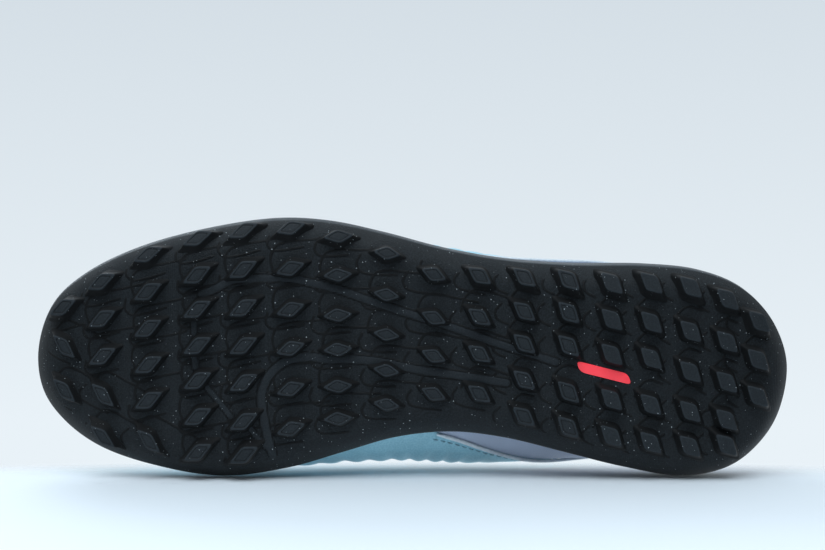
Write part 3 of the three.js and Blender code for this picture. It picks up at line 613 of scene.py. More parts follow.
def linear(colour: str) -> tuple[float, float, float, float]:
    """An sRGB hex colour as linear values."""
    parts = [int(colour[i:i + 2], 16) / 255 for i in (1, 3, 5)]
    return tuple(c / 12.92 if c <= 0.04045 else ((c + 0.055) / 1.055) ** 2.4 for c in parts) + (1.0,)


def add(tree: bpy.types.NodeTree, kind: str, settings: Optional[dict] = None,
        links: Optional[dict] = None) -> bpy.types.Node:
    """Adds a node.

    Args:
        tree: where it goes.
        kind: the node's type.
        settings: attributes to set.
        links: inputs by name or number, each a socket to join or a value to hold.
    Returns:
        The node.
    """
    node = tree.nodes.new(kind)
    for key, value in (settings or {}).items():
        setattr(node, key, value)
    for key, value in (links or {}).items():
        if isinstance(value, bpy.types.NodeSocket):
            tree.links.new(value, node.inputs[key])
        else:
            node.inputs[key].default_value = value
    return node


class Texture(Enum):
    """The patterns that the finishes are made of."""

    GRAIN = "grain"      # fine pits, as in moulded rubber and coated leather
    WEAVE = "weave"      # two sets of threads crossing
    KNIT = "knit"        # loops in staggered rows
    RIB = "rib"          # cords side by side
    CELL = "cell"        # open foam


@dataclass(frozen=True)
class Finish:
    """What a material is and how its surface was made, with sizes in millimetres."""

    name: str
    colour: str
    second: str
    roughness: float
    texture: Texture
    pitch: float
    relief: float
    uneven: float = 0.08
    sheen: float = 0.0
    coat: float = 0.0
    ior: float = 1.5
    painted_glow: float = 0.0

    def build(self) -> bpy.types.Material:
        """Makes the material."""
        material = bpy.data.materials.new(self.name)
        material.use_nodes = True
        tree = material.node_tree
        shader = tree.nodes["Principled BSDF"]
        place_mm = self.coordinates(tree)
        height = self.height(tree, place_mm)
        cloud = add(tree, "ShaderNodeTexNoise", {}, {"Vector": place_mm, "Scale": 0.045, "Detail": 3.0})
        # Low parts of the pattern take the darker second colour: a painted shade in its hollows.
        depth = add(tree, "ShaderNodeMapRange", {}, {
            "Value": height, "From Min": 0.15, "From Max": 0.85, "To Min": 0.0, "To Max": 1.0})
        base = add(tree, "ShaderNodeMix", {"data_type": "RGBA"}, {
            "Factor": depth.outputs[0], 6: linear(self.second), 7: linear(self.colour)})
        shade = add(tree, "ShaderNodeMapRange", {}, {
            "Value": cloud.outputs[0], "From Min": 0.3, "From Max": 0.7,
            "To Min": 1 - self.uneven, "To Max": 1 + self.uneven})
        tint = add(tree, "ShaderNodeVectorMath", {"operation": "SCALE"}, {
            0: base.outputs[2], "Scale": shade.outputs[0]})
        rough = add(tree, "ShaderNodeMapRange", {}, {
            "Value": cloud.outputs[0], "From Min": 0.3, "From Max": 0.7,
            "To Min": self.roughness - 0.06, "To Max": min(1.0, self.roughness + 0.06)})
        bump = add(tree, "ShaderNodeBump", {}, {
            "Strength": 1.0, "Distance": self.relief * MM, "Height": height})
        tree.links.new(tint.outputs[0], shader.inputs["Base Color"])
        tree.links.new(rough.outputs[0], shader.inputs["Roughness"])
        tree.links.new(bump.outputs[0], shader.inputs["Normal"])
        shader.inputs["IOR"].default_value = self.ior
        shader.inputs["Sheen Weight"].default_value = self.sheen
        shader.inputs["Sheen Roughness"].default_value = 0.45
        shader.inputs["Coat Weight"].default_value = self.coat
        shader.inputs["Coat Roughness"].default_value = 0.25
        # A painted glow: the surface gives out its own colour as light, though it is no lamp.
        shader.inputs["Emission Color"].default_value = linear(self.colour)
        shader.inputs["Emission Strength"].default_value = self.painted_glow
        return material

    def coordinates(self, tree: bpy.types.NodeTree) -> bpy.types.NodeSocket:
        """Places on the object in millimetres."""
        where = add(tree, "ShaderNodeTexCoord")
        return add(tree, "ShaderNodeVectorMath", {"operation": "SCALE"}, {
            0: where.outputs["Object"], "Scale": 1 / MM}).outputs[0]

    def height(self, tree: bpy.types.NodeTree, place_mm: bpy.types.NodeSocket) -> bpy.types.NodeSocket:
        """The pattern's height, from 0 to 1."""
        if self.texture is Texture.GRAIN:
            cells = add(tree, "ShaderNodeTexVoronoi", {"feature": "SMOOTH_F1"}, {
                "Vector": place_mm, "Scale": 1 / self.pitch, "Smoothness": 0.6})
            return cells.outputs["Distance"]
        if self.texture is Texture.CELL:
            return add(tree, "ShaderNodeTexVoronoi", {"feature": "F1"}, {
                "Vector": place_mm, "Scale": 1 / self.pitch}).outputs["Distance"]
        lay = add(tree, "ShaderNodeAttribute", {"attribute_name": "lay"}).outputs["Vector"]
        turn = 2 * math.pi / self.pitch
        split = add(tree, "ShaderNodeSeparateXYZ", {}, {0: lay})
        waves = []
        for axis, squeeze in ((0, 1.0), (1, 1.6 if self.texture is Texture.KNIT else 1.0)):
            angle = add(tree, "ShaderNodeMath", {"operation": "MULTIPLY"}, {
                0: split.outputs[axis], 1: turn * squeeze})
            waves.append(add(tree, "ShaderNodeMath", {"operation": "SINE"}, {0: angle.outputs[0]}).outputs[0])
        if self.texture is Texture.RIB:
            return add(tree, "ShaderNodeMath", {"operation": "MULTIPLY_ADD"}, {
                0: waves[1], 1: 0.5, 2: 0.5}).outputs[0]
        cross = add(tree, "ShaderNodeMath", {"operation": "MULTIPLY"}, {0: waves[0], 1: waves[1]})
        return add(tree, "ShaderNodeMath", {"operation": "MULTIPLY_ADD"}, {
            0: cross.outputs[0], 1: 0.5, 2: 0.5}).outputs[0]


@dataclass(frozen=True)
class TreadRubber(Finish):
    """Moulded carbon-black rubber: stipple and ribs in the mould, thin moulded lines, dust specks.

    Its meshes hold line (distance to a moulded line, mm, and 0 on the lug flanks; the grooves and the flanks
    get a painted shade), smooth (where the mould is polished), cell (inside a lug's cell), a lightening value
    (raised edges and tops that have been rubbed, plus a painted highlight on the lug rims and the lateral
    sidewall) and wall (sidewalls).
    """

    speck: str = "#c9d2d8"
    # Lighter colour for rubbed raised edges and tops, and for the painted highlight on the lug rims and the
    # lateral sidewall.
    rubbed_and_lit: str = "#343b41"
    # Colour of the painted shade in the moulded grooves, in the sidewall's step and on the lug flanks.
    line: str = "#07090b"
    line_width: float = 0.66
    wall_roughness: float = 0.42

    def build(self) -> bpy.types.Material:
        """Makes the material."""
        material = super().build()
        tree = material.node_tree
        shader = tree.nodes["Principled BSDF"]
        bump = shader.inputs["Normal"].links[0].from_node
        tint = shader.inputs["Base Color"].links[0].from_socket
        place_mm = self.coordinates(tree)
        reads = {key: add(tree, "ShaderNodeAttribute", {"attribute_name": key}).outputs["Fac"]
                 for key in ("line", "smooth", "cell", "worn_and_lit", "wall")}
        # The sidewalls are shinier than the tread, which the mould was blasted for.
        dull = shader.inputs["Roughness"].links[0].from_socket
        gloss = add(tree, "ShaderNodeMix", {"data_type": "FLOAT"}, {
            0: reads["wall"], 2: dull, 3: self.wall_roughness})
        tree.links.new(gloss.outputs[0], shader.inputs["Roughness"])
        # Near a moulded line the rubber is cut in by the bump and painted darker: a painted shade in the
        # groove.
        groove = add(tree, "ShaderNodeMapRange", {"interpolation_type": "SMOOTHSTEP"}, {
            "Value": reads["line"], "From Min": self.line_width * 0.35, "From Max": self.line_width,
            "To Min": 1.0, "To Max": 0.0}).outputs[0]
        # Stipple about 0.55 mm across inside the cells, and ribs 0.75 mm apart between them.
        stipple = add(tree, "ShaderNodeTexVoronoi", {"feature": "F1"}, {
            "Vector": place_mm, "Scale": 1 / 0.62}).outputs["Distance"]
        split = add(tree, "ShaderNodeSeparateXYZ", {}, {0: place_mm})
        ribs = []
        for axis, pitch in ((0, 0.78), (2, 1.1)):
            angle = add(tree, "ShaderNodeMath", {"operation": "MULTIPLY"}, {
                0: split.outputs[axis], 1: 2 * math.pi / pitch})
            ribs.append(add(tree, "ShaderNodeMath", {"operation": "SINE"}, {0: angle.outputs[0]}).outputs[0])
        rib = add(tree, "ShaderNodeMath", {"operation": "MULTIPLY_ADD"}, {0: ribs[0], 1: 0.1, 2: 0.5})
        grain = add(tree, "ShaderNodeMix", {"data_type": "FLOAT"}, {
            0: reads["cell"], 2: rib.outputs[0], 3: stipple})
        cross = add(tree, "ShaderNodeMath", {"operation": "MULTIPLY"}, {0: ribs[0], 1: ribs[1]})
        hatch = add(tree, "ShaderNodeMath", {"operation": "MULTIPLY_ADD"}, {
            0: cross.outputs[0], 1: 0.4, 2: 0.5})
        side = add(tree, "ShaderNodeMix", {"data_type": "FLOAT"}, {
            0: reads["wall"], 2: grain.outputs[0], 3: hatch.outputs[0]})
        rough = add(tree, "ShaderNodeMix", {"data_type": "FLOAT"}, {
            0: reads["smooth"], 2: side.outputs[0], 3: 0.5})
        cut = add(tree, "ShaderNodeMath", {"operation": "MULTIPLY_ADD"}, {
            0: groove, 1: -1.6, 2: rough.outputs[0]})
        tree.links.new(cut.outputs[0], bump.inputs["Height"])
        # Rubbed edges and tops are lightened, and the lug rims and the lateral sidewall get a painted
        # highlight.
        rubbed_and_lit = add(tree, "ShaderNodeMix", {"data_type": "RGBA"}, {
            "Factor": reads["worn_and_lit"], 6: tint, 7: linear(self.rubbed_and_lit)})
        # Painted shade: the grooves and the lug flanks darken towards the line colour.
        dark = add(tree, "ShaderNodeMix", {"data_type": "RGBA"}, {
            "Factor": groove, 6: rubbed_and_lit.outputs[2], 7: linear(self.line)})
        # Dust: a speck in a few cells of a 1.2 mm lattice, each about 0.3 mm across.
        dust = add(tree, "ShaderNodeTexVoronoi", {"feature": "F1"}, {"Vector": place_mm, "Scale": 1 / 1.2})
        colour = add(tree, "ShaderNodeSeparateColor", {}, {0: dust.outputs["Color"]})
        size = add(tree, "ShaderNodeMapRange", {}, {
            "Value": colour.outputs[0], "From Min": 0.55, "From Max": 1.0, "To Min": 0.0, "To Max": 0.17})
        spot = add(tree, "ShaderNodeMath", {"operation": "LESS_THAN"}, {
            0: dust.outputs["Distance"], 1: size.outputs[0]})
        faint = add(tree, "ShaderNodeMath", {"operation": "MULTIPLY"}, {
            0: spot.outputs[0], 1: colour.outputs[1]})
        final = add(tree, "ShaderNodeMix", {"data_type": "RGBA"}, {
            "Factor": faint.outputs[0], 6: dark.outputs[2], 7: linear(self.speck)})
        tree.links.new(final.outputs[2], shader.inputs["Base Color"])
        return material


class Finishes:
    """Every finish of the shoe, by the record's material slot."""

    def __init__(self) -> None:
        """Makes the materials."""
        made = {
            # Carbon-black rubber, compression moulded: dull black with soft highlights.
            "rubber_black": TreadRubber("moulded_rubber", "#1f2529", "#0f1316", 0.74, Texture.GRAIN, 0.6, 0.2,
                                        ior=1.36),
            # Thermoplastic polyurethane, poured into its pocket: bright and glossy, with a painted glow that
            # makes it shine as if lit.
            "inlay_coral": Finish("poured_tpu", "#ff4450", "#fb3a48", 0.4, Texture.GRAIN, 2.5, 0.02, 0.03,
                                  painted_glow=0.3),
            # EVA foam, moulded: matt with a closed skin.
            "midsole_foam": Finish("moulded_eva", "#2a2e33", "#22262a", 0.8, Texture.CELL, 0.9, 0.05),
            # Needled felt board: pale with fibres.
            "board_felt": Finish("needled_felt", "#d8d2c4", "#bfb8a8", 0.95, Texture.CELL, 0.7, 0.08),
            # Polyurethane foam, cut: soft open cells.
            "sock_foam": Finish("cut_pu_foam", "#59626b", "#434b53", 0.92, Texture.CELL, 0.8, 0.15),
            # Polyester cloth, woven and laminated to the sock: a dull dry weave.
            "sock_cloth": Finish("laminated_cloth", "#56616b", "#3c454d", 0.88, Texture.WEAVE, 1.1, 0.1,
                                 sheen=0.15),
            # Polyurethane-coated microfibre, embossed: a fine leathery grain with a low gloss.
            "skin_teal": Finish("coated_microfibre", "#a3d3e2", "#8fc3d4", 0.44, Texture.GRAIN, 0.75, 0.05,
                                0.05, coat=0.06),
            # Polyester textile, woven and heat set: threads that catch the light at the edges.
            "panel_lavender": Finish("woven_textile", "#c5cfe2", "#a5b1c9", 0.72, Texture.WEAVE, 1.3, 0.08,
                                     0.05, sheen=0.2),
            # Thermoplastic film, welded on: pale and smooth.
            "trim_light": Finish("welded_film", "#dfe8ee", "#cdd8e0", 0.36, Texture.GRAIN, 1.4, 0.02, 0.03,
                                 coat=0.15),
            # Brushed polyester tricot, knitted: dark with a soft nap.
            "lining_dark": Finish("brushed_tricot", "#48535e", "#2d353d", 0.92, Texture.KNIT, 1.25, 0.14,
                                  sheen=0.3),
            # Polyurethane foam behind the linings.
            "padding_foam": Finish("lining_foam", "#b9bfc6", "#9aa1a9", 0.93, Texture.CELL, 0.9, 0.15),
            # Non-woven stiffener sheet, heat formed.
            "stiffener": Finish("formed_nonwoven", "#e4e0d6", "#cfcabc", 0.85, Texture.CELL, 0.8, 0.06),
            # Nylon webbing, woven: ribs across its width.
            "webbing_light": Finish("nylon_webbing", "#d3dde5", "#9fb0be", 0.7, Texture.RIB, 0.9, 0.16,
                                    sheen=0.2),
        }
        self.slots = {slot: finish.build() for slot, finish in made.items()}
        # Bonded polyester thread: twisted, with a slight gloss.
        self.thread = Finish("bonded_thread", "#8fb4c4", "#6d97a9", 0.55, Texture.GRAIN, 0.4, 0.05).build()
        self.pale_thread = Finish("pale_thread", "#d8e2e9", "#b5c3ce", 0.55, Texture.GRAIN, 0.4, 0.05).build()

    def __getitem__(self, slot: str) -> bpy.types.Material:
        """The material of a slot."""
        return self.slots[slot]


# ---- Outsole ---------------------------------------------------------------------------------------


@dataclass
class Tread:
    """The rubber cup, its lugs and its inlay."""

    rows: tuple = (
        (-133.5, (-13, 1.5, 18.5)), (-118, (-23, -9.5, 5, 20, 35.5)), (-100, (-33, -20, -6, 8, 21.7, 37.3)),
        (-81, (-39, -26.5, -13.4, 0.5, 13.9, 27.7, 41.2)), (-63.5, (-42, -28.6, -14, 0.5, 14.6, 29.5, 42)),
        (-45.5, (-43, -29, -13.4, 1.5, 17, 32.3)), (-27.5, (-40, -26.5, -11.2, 1.9, 16, 28.4)),
        (-9, (-34, -19, -3.8, 10, 23)), (9, (-26.5, -10.2, 4.4, 18.9)), (26.5, (-25.4, -10.5, 3.6, 18.9)),
        (43.6, (-24.5, -12.6, -0.3, 13.6, 27.4)), (60.5, (-23.5, -12.2, 0.5, 18.2, 31.5)),
        (77, (-22.5, -9.5, 3.8, 21, 35)), (92, (-22.5, -8.5, 5.3, 23, 37.5)),
        (107, (-21, -5, 10.5, 25.7, 39)), (121, (-16.5, -1, 14.5, 29, 38.5)), (133, (-8, 6, 20)),
    )
    # Where along the shoe, and the two sides of a lug's foot there.
    sides: tuple = (
        (-60, 8.5, 0, 6.9, -8.7), (-27, 8.9, 3.1, 7.2, -4.4), (-9, 6.8, 4.8, 7.9, -2.4),
        (25, 4, 8, 8.6, 0.8), (60, 2.8, 9.4, 8.8, 2.2),
    )
    toe_sides: tuple = (4.6, 9.8, 8, 2.6)
    # Smooth ribbons that run through the tread: their middles, then their half width.
    ribbons: tuple = (
        (((-80, -19), (-75, -21), (-69, -24), (-60, -25), (-46, -25), (-36, -23), (-25, -20), (-11, -15),
          (3, -10.5), (17, -6), (31, -1), (56, 7)), 1.7),
        (((-53, 43), (-56, 30), (-57, 19), (-54, 12), (-48, 7), (-39, 5), (-32, 6), (-22, 6), (-11, 7),
          (3, 10), (17, 12), (37, 15)), 1.8),
        (((-78, 17), (-73, 23), (-69, 28)), 1.3), (((-62, 32), (-58, 37), (-54, 41)), 1.3),
        (((-83, -8), (-83, -4)), 1.4), (((-83, 5), (-82.5, 9)), 1.4),
    )
    # A hook of moulded line round a lug, from its lower left over its top and off to the right.
    hooks: tuple = (
        ((-6.2, 1.5), (-7.3, -2.5), (-6.2, -6.6), (-2.5, -8.6), (5, -10.3), (13.5, -12.2)),
        ((-8.6, 2.5), (-8.9, 6), (-6.6, 8.1), (-2, 7.6), (5.5, 5.4)),
    )
    inlay: tuple = (74.5, 11.2, 20, 5, 1.6, 4.4)
    # Past this Y the shoulder is polished, and past this X the lugs have plain tops.
    medial_from: float = 5.0
    heel_from: float = 62.0
    columns: int = 540
    across: int = 144
    corner: int = 5

    def build(self, finishes: Finishes) -> None:
        """Makes the shell, the lugs and the inlay.

        Args:
            finishes: the shoe's finishes.
        """
        centres = [(x, y) for x, row in self.rows for y in row]
        self.near_lug = Near(np.array(centres, float))
        self.trace()
        self.shell(finishes)
        self.lugs(finishes, centres)
        self.mark(finishes)

    def lean(self, x: float, y: float) -> Array:
        """The two sides of the lug at a place."""
        if y > -1 + 0.9 * (x + 133.5):
            return np.array(self.toe_sides, float)
        table = np.array(self.sides, float)
        return np.array([np.interp(x, table[:, 0], table[:, i]) for i in range(1, 5)])

    def trace(self) -> None:
        """Draws the moulded lines and the ribbons as samples to measure from."""
        lines = []
        luck = scatter(400, 7)
        for i, (x, y) in enumerate((x, y) for x, row in self.rows for y in row):
            turn = math.radians(float(np.interp(x, (-70, -20, 40, 100), (0, 14, 34, 40))))
            if y > -1 + 0.9 * (x + 133.5):
                turn = math.radians(40)
            c, s = math.cos(turn), math.sin(turn)
            for h, hook in enumerate(self.hooks):
                reach = 0.86 + 0.28 * luck[(2 * i + h) % 400]
                path = smooth_path(hook, False, 160) * reach
                if x > 30:
                    path = path[: 104 if h == 0 else 120]
                lines.append(path @ np.array([[c, s], [-s, c]]) + (x, y))
        self.near_line = Near(np.vstack(lines))
        self.near_ribbon = [(Near(smooth_path(path, False, 40 * len(path))), half)
                            for path, half in self.ribbons]

    def surface(self, x: Array, y: Array) -> Array:
        """The tread's floor, without its detail."""
        return LASTED.base(x) + LASTED.shoulder(LASTED.near(x, y))

    def detail(self, x: Array, y: Array, inset: Array) -> tuple[Array, dict[str, Array]]:
        """Moulded relief of the floor at some places.

        Args:
            x: along the shoe.
            y: across it.
            inset: distance in from the outline.
        Returns:
            How far the floor stands out, and the values that its material reads.
        """
        line = self.near_line(x, y)
        lug = self.near_lug(x, y)
        smooth = np.where(y > self.medial_from, 1 - ease((inset - 2) / 3), 0.0)
        band = np.full(np.shape(x), 9.0)
        for near, half in self.near_ribbon:
            band = np.minimum(band, near(x, y) - half)
        line = np.where(band < 0, 9.0, line)
        line = np.minimum(line, np.abs(band) + 0.12)
        line = line + 3 * (1 - ease((inset - 3) / 4))
        cell = 1 - between(6.2, 7.6, lug)
        relief = (0.32 * ease(-band / 0.8) - 0.16 * (1 - ease(line / 0.95))
                  + 0.22 * ease((8.6 - lug) / 2.5) * np.where(x > 45, 0.4, 1.0))
        reads = {"line": line, "smooth": np.maximum(smooth, ease(-band / 0.5)), "cell": cell,
                 "worn_and_lit": 0.22 * ease(-band / 0.5), "wall": np.zeros_like(x)}
        return relief, reads

    def shell(self, finishes: Finishes) -> None:
        """The tread's floor, the rounded shoulder, the rim and the inside of the cup."""
        n = self.columns
        u = np.linspace(0, 0.5, n + 1)
        round_s = np.concatenate([u, 1 - u[-2:0:-1]])
        lateral, medial = (LASTED.inset(s, np.full(n + 1, 0.5)) for s in (u, 1 - u))
        t = np.linspace(0, 1, self.across + 1)[1:-1]
        inner_u = slice(1, n)
        flat = mix(lateral[inner_u, None, :], medial[inner_u, None, :], t[None, :, None])
        x, y = flat[..., 0], flat[..., 1]
        inset = LASTED.near(x, y)
        relief, reads = self.detail(x, y, inset)
        floor = np.stack([x, y, LASTED.base(x) + LASTED.shoulder(inset) - relief], -1).reshape(-1, 3)
        reads = {key: value.ravel() for key, value in reads.items()}
        around = len(round_s)
        rings, extra = [], {key: [] for key in reads}
        out_y = LASTED.edge(round_s)[:, 1]
        x_edge = LASTED.edge(round_s)[:, 0]
        low = LASTED.base(x_edge) + LASTED.shoulder(np.full(around, 0.5))
        high = LASTED.rim_top(round_s)
        steps = [(0.5 * (1 - k) ** 2 - 0.25 * math.sin(math.pi * k) + (0.35 if 0.74 < k < 0.8 else 0), k)
                 for k in (0.0, 0.1, 0.22, 0.34, 0.46, 0.58, 0.68, 0.73, 0.76, 0.79, 0.84, 0.92)]
        profile = [(d, mix(low, high, k), 1.0) for d, k in steps]
        wall = SIZE.cup_wall
        inside = LASTED.base(x_edge) + SIZE.outsole
        profile += [(0.1, high - 0.25, 0.6), (0.5, high, 0.4), (wall - 0.5, high, 0.2),
                    (wall, high - 0.5, 0.2), (wall, inside + 5.6, 0.0), (5.0, inside + 2, 0.0),
                    (10.0, inside, 0.0)]
        for distance, height, hatch in profile:
            flat = LASTED.inset(round_s, np.full(around, distance))
            rings.append(np.column_stack([flat, np.broadcast_to(height, (around,))]))
            extra["line"].append(np.full(around, 9.0))
            extra["smooth"].append(np.where(out_y > self.medial_from, 0.9, 0.0))
            extra["cell"].append(np.zeros(around))
            # On the lateral side the sidewall and the rim are lightened: a painted highlight where the light
            # falls on them.
            extra["worn_and_lit"].append(np.where(out_y > self.medial_from, 0.0, 0.9 if hatch else 0.0))
            extra["wall"].append(np.where(out_y > self.medial_from, 0.3, 1.0) * hatch)
        # Two rings at the step in the sidewall get a short line distance: a painted shade line in that
        # groove.
        extra["line"][8] = extra["line"][9] = np.full(around, 0.3)
        points = np.vstack([floor] + rings)
        start = len(floor)
        a = self.across - 1
        faces = [grid_faces(n - 1, a, turn=True)]
        i = np.arange(n - 2)
        ring = lambda r, k: start + r * around + k % around
        faces.append(np.stack([ring(0, i + 1), ring(0, i + 2), (i + 1) * a, i * a], -1)[:, ::-1])
        last = i * a + a - 1
        faces.append(np.stack([last, last + a, ring(0, -i - 2), ring(0, -i - 1)], -1)[:, ::-1])
        faces.append(grid_faces(len(profile), around, start, wrap=True))
        last = len(profile) - 1
        j = np.arange(n)
        fill = np.stack([ring(last, j), ring(last, j + 1), ring(last, -j - 1), ring(last, -j)], -1)
        faces.append(fill[1:-1])
        ends = [list(ring(last, np.array([0, 1, -1]))), list(ring(last, np.array([n - 1, n, n + 1])))]
        toe = [int(ring(0, 0)), int(ring(0, -1))] + list(range(a - 1, -1, -1)) + [int(ring(0, 1))]
        heel = [int(ring(0, n)), int(ring(0, n - 1)), *range((n - 2) * a, (n - 1) * a), int(ring(0, n + 1))]
        quads = [list(f) for block in faces for f in block] + ends
        quads += [toe, heel]
        values = {key: np.concatenate([reads[key]] + extra[key]) for key in reads}
        piece("outsole_shell", points, quads, Body.SHOE, finishes["rubber_black"],
              ["outsole"], values, crease=60)

    def lugs(self, finishes: Finishes, centres: Sequence[tuple[float, float]]) -> None:
        """Every lug: a lozenge with a flared foot, drawn-in flanks and a raised rim round a hollow top."""
        # Scale of the outline, millimetres down from the tread's floor, how rubbed it is (with a painted
        # highlight on the rim), and whether it is dark with a painted shade, as the flanks are and the groove
        # round the inner lozenge.
        profile = ((1.24, -0.7, 0.0, 1), (1.16, 0.06, 0.0, 1), (1.05, 0.45, 0.0, 1), (0.94, 1.5, 0.0, 1),
                   (0.85, 2.7, 0.0, 1), (0.77, 3.6, 0.0, 1), (0.745, 3.92, 0.25, 0), (0.715, 4.13, 0.55, 0),
                   (0.68, 4.2, 0.4, 0), (0.56, 4.2, 0.25, 0), (0.53, 4.1, 0.05, 1), (0.49, 4.02, 0.05, 1),
                   (0.46, 4.08, 0.2, 0), (0.3, 4.1, 0.2, 0), (0.12, 4.1, 0.2, 0))
        heel_profile = profile[:9] + ((0.56, 4.2, 0.2, 0), (0.4, 4.2, 0.2, 0), (0.12, 4.2, 0.2, 0))
        points, faces, worn_and_lit, shade = [], [], [], []
        count = 0
        around = self.corner * 4
        for x, y in centres:
            centre, flat_x, flat_y, down = self.frame_at(x, y)
            a, b = self.lean(x, y).reshape(2, 2)
            corners = [(-a - b) / 2, (a - b) / 2, (a + b) / 2, (b - a) / 2]
            outline = self.rounded(corners)
            edge = LASTED.near(np.array([x]), np.array([y]))[0]
            used = heel_profile if x > self.heel_from else profile
            # A lug near the edge is a fifth shorter, because the tread curves up there.
            short = float(mix(0.8, 1.0, ease((edge - 3.5) / 5)))
            for scale, depth, rub_and_lit, dark in used:
                p = outline * scale
                ring = centre + flat_x * p[:, :1] + flat_y * p[:, 1:] + down * (depth * short)
                points.append(ring)
                worn_and_lit.append(np.full(around, rub_and_lit))
                # Dark rings get a line distance of 0: painted shade on the flanks and in the inner groove.
                shade.append(np.full(around, 0.0 if dark else 9.0))
            faces += [list(f) for f in grid_faces(len(used), around, count, wrap=True)]
            faces.append(list(range(count + (len(used) - 1) * around, count + len(used) * around)))
            faces.append(list(range(count, count + around))[::-1])
            count += len(used) * around
        every = np.vstack(points)
        every[:, 2] = np.maximum(every[:, 2], 0.0)
        rub_and_lit = np.concatenate(worn_and_lit)
        zero = np.zeros_like(rub_and_lit)
        piece("outsole_lugs", every, faces, Body.SHOE, finishes["rubber_black"], (),
              {"line": np.concatenate(shade), "smooth": zero + 0.75, "cell": zero, "worn_and_lit": rub_and_lit, "wall": zero},
              crease=50)

    def frame_at(self, x: float, y: float) -> tuple[Array, Array, Array, Array]:
        """A lug's centre on the floor, its two level directions and the way down."""
        step = 2.5
        xs, ys = np.array([x, x + step, x - step, x, x]), np.array([y, y, y, y + step, y - step])
        p = np.column_stack([xs, ys, self.surface(xs, ys)])
        along, over = p[1] - p[2], p[3] - p[4]
        down = np.cross(over, along)
        down /= np.linalg.norm(down)
        down = mix(down, np.array([0.0, 0.0, -1.0]), SIZE.lug_upright)
        down /= np.linalg.norm(down)
        flat_x = along - down * (along @ down)
        flat_x /= np.linalg.norm(flat_x)
        flat_y = np.cross(down, flat_x)
        return p[0], flat_x, flat_y if flat_y[1] > 0 else -flat_y, down

    def rounded(self, corners: Sequence[Array]) -> Array:
        """An outline through four corners, each rounded."""
        outline = []
        for i, corner in enumerate(corners):
            before, after = (corners[i - 1] - corner), (corners[(i + 1) % 4] - corner)
            p = corner + before / np.linalg.norm(before) * 2.1
            q = corner + after / np.linalg.norm(after) * 2.1
            for k in np.linspace(0, 1, self.corner):
                outline.append((1 - k) ** 2 * p + 2 * (1 - k) * k * corner + k ** 2 * q)
        return np.array(outline)

    def mark(self, finishes: Finishes) -> None:
        """The inlay: a flat lozenge with softened edges, let into its pocket."""
        x, y, ax, ay, bx, by = self.inlay
        a, b = np.array([ax, ay], float), np.array([bx, by], float)
        outline = self.rounded([(-a - b) / 2, (a - b) / 2, (a + b) / 2, (b - a) / 2])
        low = float(LASTED.base(np.array(x)))
        rings = [(0.97, low + 0.6), (1.0, low + 0.2), (0.99, low - 0.1), (0.95, low - 0.28),
                 (0.7, low - 0.34), (0.3, low - 0.36)]
        points = np.vstack([np.column_stack([outline * k + (x, y), np.full(len(outline), z)])
                            for k, z in rings])
        n = len(outline)
        faces = [list(f) for f in grid_faces(len(rings), n, wrap=True)]
        faces += [list(range(n))[::-1], list(range((len(rings) - 1) * n, len(rings) * n))]
        piece("outsole_inlay_lozenge", points, faces, Body.SHOE, finishes["inlay_coral"],
              ["outsole_inlay"])


# ---- Upper -----------------------------------------------------------------------------------------


